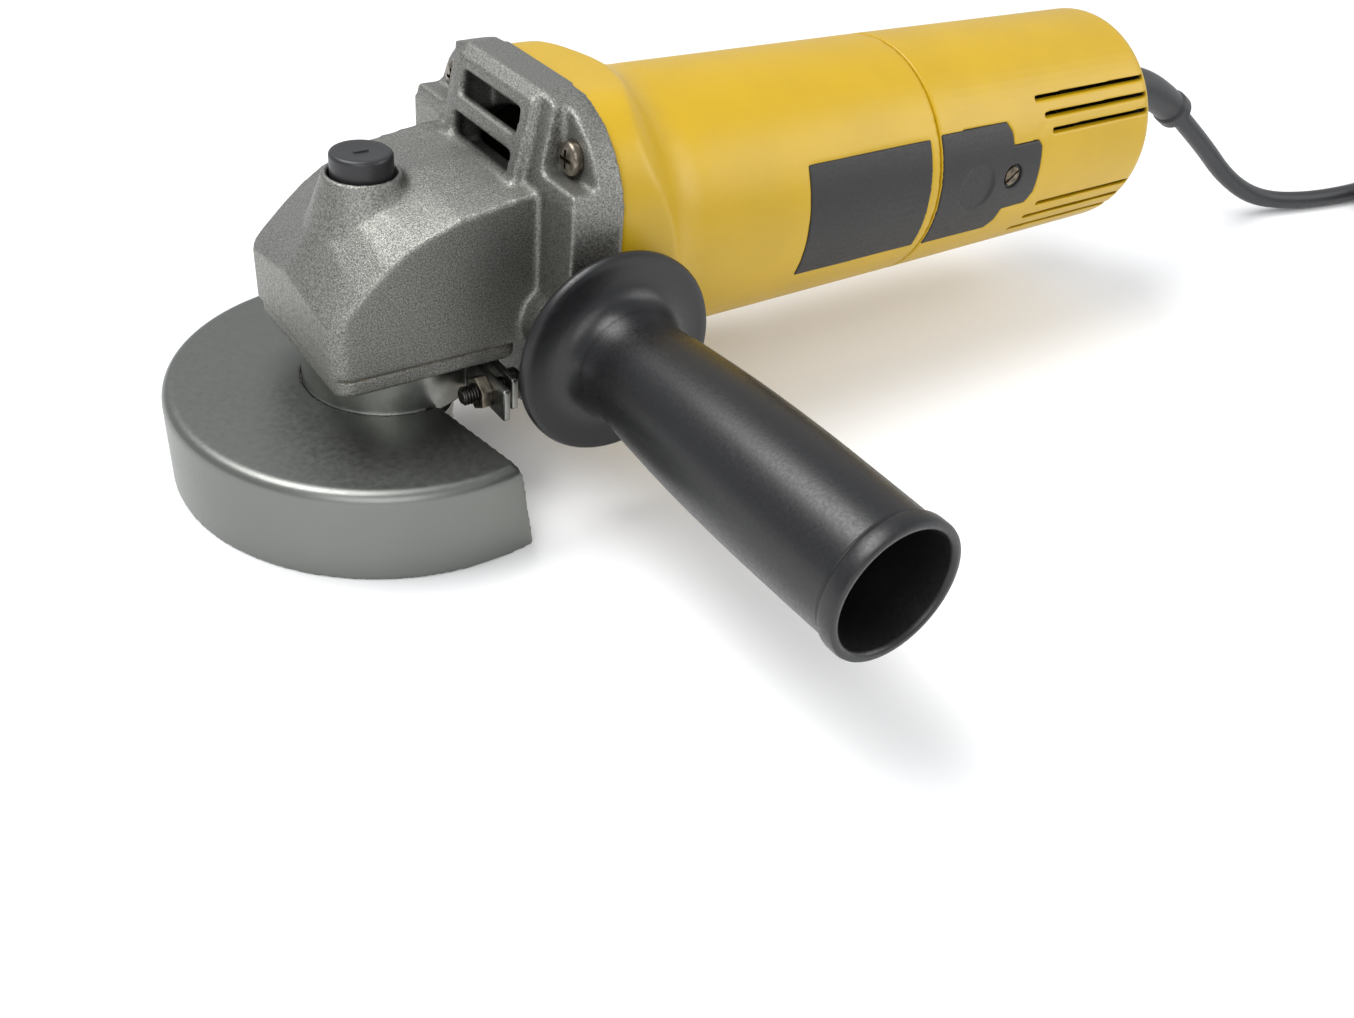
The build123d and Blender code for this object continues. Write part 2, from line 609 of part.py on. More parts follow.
# ---- rear cover ----
COVER_WALL = 2.6
VENT_SLOTS = ((200.0, 79.9), (203.0, 75.4), (206.0, 70.9), (206.0, 47.4), (204.0, 42.4), (202.0, 37.4))
VENT_HALF = 0.75
VENT_END = 4.0             # from the rear face
BRUSH_PANEL = [(PARTING_X + 0.5, 42.4), (PARTING_X + 0.5, 76), (186, 76), (188.3, 73), (188.8, 69.3),
               (199.6, 69.3), (201.2, 67.5), (201.2, 53), (199.2, 49.4), (189, 49.2), (188.4, 45), (186, 42.4)]
BRUSH_SCREW = (189.5, 60.0)
BRUSH_SEAT_Y = 33.7
NECK_FIT_END = 198.0
EXIT_Z = 68.0
CLAMP_X = (232.0, 241.0)
CLAMP_MID_X = 236.5
CLAMP_LOW = EXIT_Z - 8.4
CLAMP_SCREW_Y = (-8.0, 8.0)


def rear_cover_outside(shrink=0.0):
    low = PARTING_X
    solid = frustum_x(body_radius(low) - shrink, body_radius(REAR_X) - shrink, low, REAR_X - shrink)
    return fillet(solid.edges().group_by(Axis.X)[-1], 7 - shrink)


def rear_cover():
    """Rear shell over the neck: switch space, vents, brush hatches and cord outlet."""
    cavity = rear_cover_outside(COVER_WALL) - block((0, NECK_FIT_END), (-50, 50), (0, 120))
    shell = rear_cover_outside() - cavity - on_motor("X", NECK_R + 0.05, PARTING_X - 1, NECK_FIT_END + 1)
    for x, z in VENT_SLOTS:
        height = (z - VENT_HALF, z + VENT_HALF)
        shell = shell - block((x, REAR_X - VENT_END), (-45, -18), height)
        shell = shell - block((x, REAR_X - VENT_END), (18, 45), height)
    for side in (-1, 1):
        shell = shell - brush_panel_place(side, body_skin(PARTING_X, 206, 1.6, 1.0))
        span = (-40, -20) if side < 0 else (20, 40)
        shell = shell - cyl("Y", 1.6, span[0], span[1], BRUSH_SCREW)
    shell = shell - cyl("X", 8.3, REAR_X - 12, REAR_X + 1, (0, EXIT_Z)) - switch_channel()
    posts = block(CLAMP_X, (5, 11), (AXIS_Z - 31, CLAMP_LOW)) + block(CLAMP_X, (-11, -5), (AXIS_Z - 31, CLAMP_LOW))
    for y in CLAMP_SCREW_Y:
        posts = posts - cyl("Z", 1.5, CLAMP_LOW - 12, 80, (CLAMP_MID_X, y))
    return shell + posts


def brush_panel_place(side, skin):
    reach = (15, 45) if side > 0 else (-45, -15)
    return skin & prism_y(BRUSH_PANEL, reach[0], reach[1])


def brush_covers():
    """Black hatches over the brushes, each with a round dimple and a screw hole."""
    covers = []
    for side in (-1, 1):
        cover = brush_panel_place(side, body_skin(PARTING_X, 206, 1.6, 0.0))
        span = (-45, -20) if side < 0 else (20, 45)
        cover = cover - cyl("Y", 1.7, span[0], span[1], BRUSH_SCREW)
        bore = (-45, -BRUSH_SEAT_Y) if side < 0 else (BRUSH_SEAT_Y, 45)
        cover = cover - cyl("Y", 3.8, bore[0], bore[1], BRUSH_SCREW)
        dimple = (-45, -34.5) if side < 0 else (34.5, 45)
        cover = cover - cyl("Y", 7, dimple[0], dimple[1], (174.5, 58.9))
        covers.append(cover)
    return covers


def brush_cover_screws():
    left = screw("Y", 1.5, 3.4, -BRUSH_SEAT_Y, -28.5, 1.2, BRUSH_SCREW, head_at_high=False)
    right = screw("Y", 1.5, 3.4, 28.5, BRUSH_SEAT_Y, 1.2, BRUSH_SCREW)
    return [left, right]


# ---- motor ----
COMM_R = 12.0
CORE_R = 16.5


def fan():
    hub = motor_ring(9, 4, FAN_X, FAN_X + 9)
    disc = motor_ring(28.5, 8, FAN_X + 7.4, FAN_X + 9)
    blade = block((FAN_X, FAN_X + 8), (-0.7, 0.7), (AXIS_Z + 8.5, AXIS_Z + 28))
    wheel = hub + disc
    for i in range(12):
        wheel = wheel + about_motor(30 * i, blade)
    return wheel


def fan_baffle():
    baffle = motor_ring(31.5, 20, 61.2, 63.4)
    return baffle + motor_ring(22, 20, 60.6, 66)


def armature_shaft():
    outline = [(0, 7.8), (2.6, 7.8), (3, 8.2), (3, 24.0), (5, 24.0), (5, 36), (6.5, 36), (6.5, 40), (4, 40),
               (4, 60), (5, 60), (5, 184), (4, 184), (4, 194), (0, 194)]
    return turned_x(outline)


def armature_core():
    core = motor_ring(CORE_R, 5, CORE_X0, CORE_X1)
    for i in range(12):
        slot = block((CORE_X0 - 1, CORE_X1 + 1), (-1, 1), (AXIS_Z + 10, AXIS_Z + 18))
        core = core - about_motor(30 * i, slot)
    return core


def armature_windings():
    front = turned_x([(5, 89), (12.5, 89), (14.8, 92), (14.8, CORE_X0), (5, CORE_X0)])
    rear = turned_x([(5, CORE_X1), (14.8, CORE_X1), (14.8, 148), (12, 154), (10, 166), (5, 166)])
    wires = []
    for i in range(12):
        wire = block((CORE_X0, CORE_X1), (-0.9, 0.9), (AXIS_Z + 10, AXIS_Z + 15.5))
        wires.append(about_motor(30 * i, wire))
    return front.fuse(rear, *wires)


def commutator():
    comm = motor_ring(COMM_R, 5, 166, 184)
    for i in range(24):
        comm = comm - about_motor(15 * i, block((165, 183), (-0.25, 0.25), (AXIS_Z + 11, AXIS_Z + 13)))
    return comm


def stator_core():
    """Laminated field frame: round yoke with two pole shoes above and below the rotor."""
    yoke = motor_ring(29.45, 24.5, CORE_X0, CORE_X1)
    shoes = motor_ring(20, 17.1, CORE_X0, CORE_X1)
    for gap in ((-40, -12), (12, 40)):
        shoes = shoes - block((CORE_X0 - 1, CORE_X1 + 1), gap, (AXIS_Z - 40, AXIS_Z + 40))
    poles = block((CORE_X0, CORE_X1), (-7, 7), (AXIS_Z - 26, AXIS_Z + 26)) - on_motor("X", 17.1, 80, 160)
    core = yoke + shoes + poles
    for z in (AXIS_Z - 26.5, AXIS_Z + 26.5):
        core = core - cyl("X", 1.6, 80, 160, (0, z))
    return core


def field_coils():
    """Two copper coils around the pole necks."""
    coils = []
    for sign in (-1, 1):
        z_low = AXIS_Z + (20.2 if sign > 0 else -24.2)
        outer = block((CORE_X0 - 5, CORE_X1 + 5), (-11.6, 11.6), (z_low, z_low + 4.0))
        inner = block((CORE_X0 - 0.2, CORE_X1 + 0.2), (-7.1, 7.1), (z_low - 1, z_low + 5))
        coil = (outer - inner) & on_motor("X", 24.3, 80, 160)
        coils.append(coil)
    return coils


def field_screws():
    return [cyl("X", 1.55, CORE_X0 - 1, CORE_X1 + 5, (0, z)) + cyl("X", 2.1, CORE_X0 - 2.5, CORE_X0, (0, z))
            for z in (AXIS_Z - 26.5, AXIS_Z + 26.5)]


def brush_solid(side, low, high, x_half, z_half):
    """Box around a brush's line, from low to high along the outward direction of its side."""
    span = (low, high) if side > 0 else (-high, -low)
    return block((BRUSH_X - x_half, BRUSH_X + x_half), span, (AXIS_Z - z_half, AXIS_Z + z_half))


def brush_holders():
    return [brush_solid(side, 14.0, 30.4, 6.0, 5.5) - brush_solid(side, 13.0, 29.0, 4.6, 4.1) for side in (-1, 1)]


def carbon_brushes():
    rotor = on_motor("X", COMM_R + 0.25, 160, 190)
    return [brush_solid(side, COMM_R - 1, 23.0, 4.4, 3.9) - rotor for side in (-1, 1)]


def brush_springs():
    """Coil springs behind the brushes, as closed tubes."""
    return [ring("Y", 3.2, 2.2, low, high, (BRUSH_X, AXIS_Z)) for low, high in ((-29.0, -23.0), (23.0, 29.0))]


def rear_bearing_bush():
    """Rubber ring between the rear bearing and its hub."""
    return motor_ring(BUSH_R, REAR_BEARING[0], REAR_BEARING[2], REAR_BEARING[3])


# ---- electrical parts in the rear cover ----
def capacitor():
    body = block((206, 222), (-8, 8), (AXIS_Z - 30.4, AXIS_Z - 20.4))
    return fillet(body.edges().filter_by(Axis.X), 1.5)


TERMINAL_X = (204.0, 216.0)


def terminal_block():
    body = block(TERMINAL_X, (-7, 7), (AXIS_Z + 20, AXIS_Z + 30))
    for y in (-3.5, 3.5):
        body = body - cyl("Y", 1.2, -8, 8, (207 if y < 0 else 213, AXIS_Z + 25))
    return body


def cord_clamp():
    base = block(CLAMP_X, (-11, 11), (CLAMP_LOW, EXIT_Z - 3.6))
    strap = block(CLAMP_X, (-11, 11), (EXIT_Z + 3.6, EXIT_Z + 6.4))
    pair = []
    for piece in (base, strap):
        for y in CLAMP_SCREW_Y:
            piece = piece - cyl("Z", 1.55, CLAMP_LOW - 1, 90, (CLAMP_MID_X, y))
        pair.append(piece)
    return pair


def cord_clamp_screws():
    return [screw("Z", 1.45, 2.8, CLAMP_LOW - 8, EXIT_Z + 6.4, 1.8, (CLAMP_MID_X, y)) for y in CLAMP_SCREW_Y]


def lead_wires():
    """Two leads from the terminal block: one to the switch, one forward to the field."""
    start_x = TERMINAL_X[1]
    runs = [[(start_x, 3, AXIS_Z + 23), (228, 6, AXIS_Z + 22), (227, 12, AXIS_Z + 6), (224, 15, AXIS_Z - 4)],
            [(TERMINAL_X[0], -3, AXIS_Z + 23), (199, -4, AXIS_Z + 22.5), (180, -8, AXIS_Z + 23.5),
             (160, -6, AXIS_Z + 25), (147, -4, AXIS_Z + 22)]]
    wires = []
    for points in runs:
        path = FilletPolyline(*points, radius=3)
        wires.append(sweep(Plane(origin=path @ 0, z_dir=path % 0) * Circle(1.1), path=path))
    return wires


def inner_cord():
    """The end of the cord inside the rear cover, from the clamp to the boot."""
    return cyl("X", CORD_R, 226, BOOT_START_X - 0.5, (0, EXIT_Z))


# ---- cord ----
BOOT_START_X = 248.0


def boot_path():
    return ThreePointArc((BOOT_START_X, 0, EXIT_Z), (288, 0, 63.4), CORD_EXIT)


def cord_boot():
    """Flexible sleeve that bends down behind the rear cover."""
    path = boot_path()
    sleeve = sweep(Plane(origin=path @ 0, z_dir=path % 0) * Circle(6.2), path=path)
    collar = cyl("X", 8.2, REAR_X - COVER_WALL, REAR_X + 3, (0, EXIT_Z))
    flange = cyl("X", 10.5, REAR_X - COVER_WALL - 3, REAR_X - COVER_WALL, (0, EXIT_Z))
    return sleeve + collar + flange


CORD_REST_Z = FLOOR + CORD_R + 0.05
CORD_ROUTE = [
    CORD_EXIT,
    (338.5, 0.0, 35.0),
    (361.0, -1.0, 17.5),
    (384.0, -4.0, 5.5),
    (409.0, -10.0, CORD_REST_Z),
    (437.0, -14.0, CORD_REST_Z),
    (462.5, -13.5, CORD_REST_Z),
]


def bend_radii(points):
    """Radius of the arc at each inner point: 0.45 of its shorter run over the tangent of half its turn."""
    radii = []
    for a, b, c in zip(points, points[1:], points[2:]):
        first = Vector(*b) - Vector(*a)
        second = Vector(*c) - Vector(*b)
        turn = radians(first.get_angle(second))
        radii.append(0.45 * min(first.length, second.length) / tan(turn / 2))
    return radii


def cord_tube():
    path = FilletPolyline(*CORD_ROUTE, radius=bend_radii(CORD_ROUTE))
    tube = sweep(Plane(origin=path @ 0, z_dir=path % 0) * Circle(CORD_R), path=path)
    print("cord radii", [round(r, 1) for r in bend_radii(CORD_ROUTE)])
    print("cord tube volume ratio", round(tube.volume / (path.length * pi * CORD_R ** 2), 4))
    print("cord tube length", round(path.length, 1))
    return tube


PLUG_SIZE = (26.0, 34.0, 12.0)
PLUG_NEAR = (528.0, -104.0, FLOOR + 6.1)      # middle of the face that the cord enters
PIN_SPACING = 19.0
PIN_LENGTH = 19.0


def cord_coil():
    """Outer shape of the tied coil, with the short tail that leads to the plug."""
    low = FLOOR + 0.05
    coil = ring("Z", COIL_OUTER_R, COIL_INNER_R, low, low + COIL_HEIGHT, COIL_CENTRE)
    coil = fillet(coil.edges(), 4)
    tail = cyl("Y", CORD_R, PLUG_NEAR[1], COIL_CENTRE[1], (COIL_CENTRE[0] + COIL_OUTER_R - CORD_R, CORD_REST_Z))
    return coil + tail


def plug_body():
    x, y, z = PLUG_NEAR
    body = Pos(x, y - PLUG_SIZE[1] / 2, z) * Box(*PLUG_SIZE)
    return fillet(body.edges().filter_by(Axis.Y), 4)


def plug_pins():
    x, y, z = PLUG_NEAR
    front = y - PLUG_SIZE[1]
    return [cyl("Y", 2.0, front - PIN_LENGTH, front, (x + side * PIN_SPACING / 2, z)) for side in (-1, 1)]


# ---- side handle ----
def handle_grip():
    """Moulded grip: thin flange, waisted neck, swelling barrel and a ringed open mouth."""
    flange = 3.2
    rim = HANDLE_FLANGE_R - 1
    end = HANDLE_LENGTH
    outer = Spline((14.7, flange + 4.2), (14.1, 14), (15.1, 26), (16.3, 48), (16.7, 70), (16.4, 88), (16.3, end - 5))
    profile = [Line((5, 0), (rim, 0)),
               ThreePointArc((rim, 0), (rim + 1, flange / 2), (rim, flange)),
               Line((rim, flange), (18.4, flange)),
               Line((18.4, flange), (14.7, flange + 4.2)),
               outer,
               Line((16.3, end - 5), (17.1, end - 3.5)),
               Line((17.1, end - 3.5), (17.1, end)),
               Line((17.1, end), (14.7, end)),
               Line((14.7, end), (13.7, end - 8)),
               Line((13.7, end - 8), (11.2, 26)),
               Line((11.2, 26), (5, 26)),
               Line((5, 26), (5, 0))]
    solid = revolve(Plane.XZ * make_face(Wire(profile)), Axis.Z)
    return Pos(HANDLE_X, HANDLE_FACE, HANDLE_Z) * Rot(90, 0, 0) * solid


def handle_stud():
    """Threaded stud moulded into the grip, with a hexagonal head inside it."""
    at = (HANDLE_X, HANDLE_Z)
    shank = cyl("Y", STUD_R - 0.06, HANDLE_FACE - 3, HANDLE_FACE + STUD_REACH, at)
    collar = cyl("Y", 5, HANDLE_FACE - 26, HANDLE_FACE, at)
    hexagon = extrude(RegularPolygon(7, 6, major_radius=False), amount=6)
    head = Pos(HANDLE_X, HANDLE_FACE - 26, HANDLE_Z) * Rot(90, 0, 0) * hexagon
    return shank + collar + head


def save(name, shape):
    """Write one node. A list of solids becomes one group."""
    shape = Compound(children=list(shape)) if isinstance(shape, (list, tuple)) else shape
    export_step(shape, "parts/" + name + ".step")


def save_bearings():
    """The three ball bearings. Their balls share one node."""
    balls = []
    front, rear = FRONT_BEARING, REAR_BEARING
    for name, axis, outer, bore, low, high, centre in (
            ("spindle_bearing", "Z", 16.0, 6.0, 26.0, 36.0, (0, 0)),
            ("front_bearing", "X", front[0], front[1], front[2], front[3], (0, AXIS_Z)),
            ("rear_bearing", "X", rear[0], rear[1], rear[2], rear[3], (0, AXIS_Z))):
        race_out, race_in, row = ball_bearing(axis, outer, bore, low, high, 7, centre)
        save(name + "_outer", race_out)
        save(name + "_inner", race_in)
        balls += row
    save("bearing_balls", balls)


def main():
    os.makedirs("parts", exist_ok=True)
    save("gear_case", gear_case())
    save("bearing_cover", bearing_cover())
    save("cover_gasket", cover_gasket())
    save("cover_screws", cover_screws())
    save("case_screws", case_screws())
    save("spindle", spindle())
    save("crown_gear", crown_gear())
    save("pinion", pinion())
    save("pinion_nut", hex_x(8, 9.8, 12.9, 3))
    save("inner_flange", inner_flange())
    save("lock_nut", lock_nut())
    save("guard_shell", guard_shell())
    save("guard_band", guard_band())
    save("clamp_screw", clamp_screw())
    save("clamp_nut", clamp_nut())
    save("lock_cap", lock_cap())
    save("lock_pin", lock_pin())
    save("lock_spring", lock_spring())
    save("top_bush", top_bush())
    save_bearings()
    save("motor_housing", motor_housing())
    save("rear_cover", rear_cover())
    save("side_panels", side_panels())
    save("brush_covers", brush_covers())
    save("brush_cover_screws", brush_cover_screws())
    save("fan", fan())
    save("fan_baffle", fan_baffle())
    save("armature_shaft", armature_shaft())
    save("armature_core", armature_core())
    save("armature_windings", armature_windings())
    save("commutator", commutator())
    save("stator_core", stator_core())
    save("field_coils", field_coils())
    save("field_screws", field_screws())
    save("brush_holders", brush_holders())
    save("carbon_brushes", carbon_brushes())
    save("brush_springs", brush_springs())
    save("rear_bearing_bush", rear_bearing_bush())
    save("switch_button", switch_button())
    save("switch_rod", switch_rod())
    save("switch_body", switch_body())
    save("capacitor", capacitor())
    save("terminal_block", terminal_block())
    save("lead_wires", lead_wires())
    save("cord_clamp", cord_clamp())
    save("cord_clamp_screws", cord_clamp_screws())
    save("inner_cord", inner_cord())
    save("cord_boot", cord_boot())
    save("cord", cord_tube())
    save("cord_coil", cord_coil())
    save("plug_body", plug_body())
    save("plug_pins", plug_pins())
    save("handle_grip", handle_grip())
    save("handle_stud", handle_stud())


if __name__ == "__main__":
    main()
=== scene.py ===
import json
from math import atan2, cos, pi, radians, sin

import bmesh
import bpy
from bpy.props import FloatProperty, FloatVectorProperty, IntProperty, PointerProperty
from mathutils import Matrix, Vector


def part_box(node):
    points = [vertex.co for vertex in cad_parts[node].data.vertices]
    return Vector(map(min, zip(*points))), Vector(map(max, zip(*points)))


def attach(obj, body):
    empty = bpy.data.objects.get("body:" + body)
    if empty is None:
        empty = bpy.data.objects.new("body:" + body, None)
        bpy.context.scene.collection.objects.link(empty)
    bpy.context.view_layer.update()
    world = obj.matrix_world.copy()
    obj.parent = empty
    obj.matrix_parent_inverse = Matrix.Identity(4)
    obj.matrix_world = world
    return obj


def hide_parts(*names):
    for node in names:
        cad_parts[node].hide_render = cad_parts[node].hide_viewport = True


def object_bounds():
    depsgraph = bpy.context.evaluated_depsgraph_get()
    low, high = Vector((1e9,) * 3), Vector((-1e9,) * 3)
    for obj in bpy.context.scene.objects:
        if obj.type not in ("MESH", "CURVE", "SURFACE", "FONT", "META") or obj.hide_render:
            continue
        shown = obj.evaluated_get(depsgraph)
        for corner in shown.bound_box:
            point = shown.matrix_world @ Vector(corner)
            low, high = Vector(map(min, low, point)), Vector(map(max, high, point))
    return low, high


bl_info = {
    "name": "Angle grinder",
    "version": (1, 0, 0),
    "blender": (4, 5, 0),
    "location": "View3D > Sidebar > Grinder",
    "description": "Builds the visible pieces and finishes of a small angle grinder around its CAD frame",
    "category": "Object",
}

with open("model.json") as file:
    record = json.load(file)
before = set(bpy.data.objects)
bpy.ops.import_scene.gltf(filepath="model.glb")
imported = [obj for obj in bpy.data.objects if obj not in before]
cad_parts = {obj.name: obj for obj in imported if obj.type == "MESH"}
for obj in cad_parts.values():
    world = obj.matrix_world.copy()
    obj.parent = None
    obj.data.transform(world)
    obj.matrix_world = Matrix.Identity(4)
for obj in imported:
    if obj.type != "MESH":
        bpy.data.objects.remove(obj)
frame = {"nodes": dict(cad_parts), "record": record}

MM = 0.001                      # shapes are worked out in millimetres and brought to metres at the end
CAD_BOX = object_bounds()


def mm_box(node):
    """Lowest and highest corners of a CAD node, in millimetres."""
    low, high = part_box(node)
    return low / MM, high / MM


def srgb(code):
    """Linear RGBA from an sRGB hex colour."""
    channels = [int(code[i:i + 2], 16) / 255 for i in (1, 3, 5)]
    linear = [c / 12.92 if c <= 0.04045 else ((c + 0.055) / 1.055) ** 2.4 for c in channels]
    return (*linear, 1.0)


# ---- places read from the frame, in millimetres ----
HANDLE_LOW, HANDLE_HIGH = mm_box("handle_grip")
HANDLE_X = (HANDLE_LOW.x + HANDLE_HIGH.x) / 2
HANDLE_Z = (HANDLE_LOW.z + HANDLE_HIGH.z) / 2
HANDLE_FACE = HANDLE_HIGH.y
HANDLE_LENGTH = HANDLE_HIGH.y - HANDLE_LOW.y
FLANGE_R = (HANDLE_HIGH.x - HANDLE_LOW.x) / 2
HOUSING_LOW, HOUSING_HIGH = mm_box("motor_housing")
MOTOR_Z = (HOUSING_LOW.z + HOUSING_HIGH.z) / 2
CAP_LOW, CAP_HIGH = mm_box("lock_cap")
CAP_X = (CAP_LOW.x + CAP_HIGH.x) / 2
CAP_R = (CAP_HIGH.x - CAP_LOW.x) / 2
PLUG_LOW, PLUG_HIGH = mm_box("plug_body")
PLUG_Z = (PLUG_LOW.z + PLUG_HIGH.z) / 2


# ---- properties that a user would change ----
class GrinderSizes(bpy.types.PropertyGroup):
    cord_diameter: FloatProperty(name="Cord diameter", description="Outer diameter of the mains cord",
                                 default=0.007, unit="LENGTH")
    cord_length: FloatProperty(name="Cord length", description="Length of the cord from boot to plug",
                               default=2.0, unit="LENGTH")
    cast_radius: FloatProperty(name="Casting radius", description="Grid that rounds the cast edges",
                               default=0.0008, unit="LENGTH")
    grip_facets: IntProperty(name="Grip facets", description="Steps around the turned grip",
                             default=144, min=24, max=256)


class GrinderColours(bpy.types.PropertyGroup):
    housing: FloatVectorProperty(name="Housing", description="Moulded motor housing and rear cover",
                                 subtype="COLOR", size=4, default=srgb("#BC9804"))
    casting: FloatVectorProperty(name="Casting", description="Blasted aluminium gear head",
                                 subtype="COLOR", size=4, default=srgb("#8B8B86"))
    guard: FloatVectorProperty(name="Guard", description="Zinc-plated guard sheet",
                               subtype="COLOR", size=4, default=srgb("#7C7E7A"))
    grip: FloatVectorProperty(name="Grip", description="Moulded side handle",
                              subtype="COLOR", size=4, default=srgb("#101012"))
    panel: FloatVectorProperty(name="Panel", description="Side panels and brush hatches",
                               subtype="COLOR", size=4, default=srgb("#191817"))
    cord: FloatVectorProperty(name="Cord", description="Cord sheath and boot",
                              subtype="COLOR", size=4, default=srgb("#101114"))
    floor: FloatVectorProperty(name="Floor", description="Plain studio floor",
                               subtype="COLOR", size=4, default=srgb("#F4F4F4"))


# ---- shader helpers ----
def add(tree, kind, inputs=None, **settings):
    """Add one shader node. An input is a plain value or another node's output."""
    node = tree.nodes.new("ShaderNode" + kind)
    for name, value in settings.items():
        setattr(node, name, value)
    for name, value in (inputs or {}).items():
        if isinstance(value, bpy.types.NodeSocket):
            tree.links.new(value, node.inputs[name])
        else:
            node.inputs[name].default_value = value
    return node


def new_material(name):
    """Empty material with its tree, its shader and the object coordinates."""
    material = bpy.data.materials.new(name)
    material.use_nodes = True
    tree = material.node_tree
    shader = next(n for n in tree.nodes if n.type == "BSDF_PRINCIPLED")
    place = add(tree, "TexCoord").outputs["Object"]
    return material, tree, shader, place


MIX_A, MIX_B, MIX_OUT = 6, 7, 2     # colour sockets of the Mix node


def scaled(colour, k):
    return (*[min(1.0, c * k) for c in colour[:3]], 1.0)


def two_tone(tree, shader, place, size_mm, light, dark, detail=3):
    """Vary the colour between two tones over patches of one size."""
    noise = add(tree, "TexNoise", {"Vector": place, "Scale": 1 / (size_mm * MM), "Detail": detail})
    tone = add(tree, "MapRange", {"Value": noise.outputs[0], "From Min": 0.35, "From Max": 0.65})
    mix = add(tree, "Mix", {0: tone.outputs[0], MIX_A: dark, MIX_B: light}, data_type="RGBA")
    tree.links.new(mix.outputs[MIX_OUT], shader.inputs["Base Color"])
    return mix


def rough_range(tree, shader, height, low, high):
    """Let the roughness follow a pattern, between two values."""
    span = add(tree, "MapRange", {"Value": height, "From Min": 0.3, "From Max": 0.7,
                                  "To Min": low, "To Max": high})
    tree.links.new(span.outputs[0], shader.inputs["Roughness"])


def relief(tree, shader, height, depth_mm, strength=1.0, below=None):
    """Raise the surface by a pattern's height."""
    inputs = {"Height": height, "Distance": depth_mm * MM, "Strength": strength}
    if below:
        inputs["Normal"] = below
    bump = add(tree, "Bump", inputs)
    tree.links.new(bump.outputs[0], shader.inputs["Normal"])
    return bump.outputs[0]


# ---- metals ----
def cast_aluminium(colours):
    """Die-cast aluminium, shot-blasted: an even sparkling grain of small dents; sharp edges are painted
    brighter, partly as wear and partly as a painted highlight.
    """
    material, tree, shader, place = new_material("blasted_cast_aluminium")
    shader.inputs["Metallic"].default_value = 1.0
    grain_mm = 0.34     # real blast dents are near 0.2 mm; drawn coarser so that they show
    grain = add(tree, "TexNoise", {"Vector": place, "Scale": 1 / (grain_mm * MM), "Detail": 2,
                                   "Roughness": 0.7})
    base = two_tone(tree, shader, place, 0.42, scaled(colours.casting, 1.25), scaled(colours.casting, 0.5))
    # Sharp edges are mixed towards near-white #E4E4E2: partly edge wear, partly a painted highlight standing
    # in for the lights' reflection on the rounded edges.
    edge = add(tree, "NewGeometry").outputs["Pointiness"]
    edge_wear_and_painted_highlight = add(tree, "MapRange", {"Value": edge, "From Min": 0.56, "From Max": 0.68,
                                    "To Max": 0.7})
    bright = add(tree, "Mix", {0: edge_wear_and_painted_highlight.outputs[0], MIX_A: base.outputs[MIX_OUT], MIX_B: srgb("#E4E4E2")},
                 data_type="RGBA")
    tree.links.new(bright.outputs[MIX_OUT], shader.inputs["Base Color"])
    rough_range(tree, shader, grain.outputs[0], 0.34, 0.56)
    relief(tree, shader, grain.outputs[0], 0.15, 1.0)
    return material


def plated_sheet(name, light, dark, rough=0.34, depth_mm=0.02, cloud_mm=14):
    """Zinc-plated steel: a soft grey metal with faint clouds and fine rubbing marks."""
    material, tree, shader, place = new_material(name)
    shader.inputs["Metallic"].default_value = 1.0
    two_tone(tree, shader, place, cloud_mm, light, dark, detail=4)
    stretched = add(tree, "Mapping", {"Vector": place, "Scale": (1, 1, 5), "Rotation": (0.2, 0.1, 0.4)})
    rub = add(tree, "TexNoise", {"Vector": stretched.outputs[0], "Scale": 1 / (1.6 * MM), "Detail": 4})
    rough_range(tree, shader, rub.outputs[0], rough - 0.02, rough + 0.05)
    relief(tree, shader, rub.outputs[0], depth_mm, 0.5)
    return material


def turned_steel(name, light, dark, rough=0.28, pitch_mm=0.45):
    """Machined steel: fine tool marks and slight oil stains."""
    material, tree, shader, place = new_material(name)
    shader.inputs["Metallic"].default_value = 1.0
    two_tone(tree, shader, place, 5, light, dark)
    marks = add(tree, "TexWave", {"Vector": place, "Scale": 0.31 / (pitch_mm * MM), "Distortion": 1.2,
                                  "Detail": 2}, wave_type="RINGS", rings_direction="Z")
    rough_range(tree, shader, marks.outputs["Fac"], rough - 0.05, rough + 0.08)
    relief(tree, shader, marks.outputs["Fac"], 0.015, 0.4)
    return material


def blackened_steel():
    """Black-oxide screw steel: nearly black, with bright worn thread crests."""
    material, tree, shader, place = new_material("blackened_steel")
    shader.inputs["Metallic"].default_value = 1.0
    two_tone(tree, shader, place, 1.6, srgb("#55534F"), srgb("#2B2A29"))
    grain = add(tree, "TexNoise", {"Vector": place, "Scale": 1 / (0.5 * MM), "Detail": 3})
    rough_range(tree, shader, grain.outputs[0], 0.24, 0.42)
    relief(tree, shader, grain.outputs[0], 0.02, 0.5)
    return material


def laminated_steel():
    """Stacked electrical sheets, seen as fine stripes along the motor's axis."""
    material, tree, shader, place = new_material("laminated_steel")
    shader.inputs["Metallic"].default_value = 0.9
    sheet_mm = 1.0      # real sheets are 0.5 mm; drawn twice as thick so that they show
    stripes = add(tree, "TexWave", {"Vector": place, "Scale": 0.31 / (sheet_mm * MM), "Distortion": 0.0},
                  wave_type="BANDS", bands_direction="X")
    tone = add(tree, "Mix", {0: stripes.outputs["Fac"], MIX_A: srgb("#4C4843"), MIX_B: srgb("#8B8984")},
               data_type="RGBA")
    tree.links.new(tone.outputs[MIX_OUT], shader.inputs["Base Color"])
    rough_range(tree, shader, stripes.outputs["Fac"], 0.38, 0.55)
    relief(tree, shader, stripes.outputs["Fac"], 0.1, 0.8)
    return material


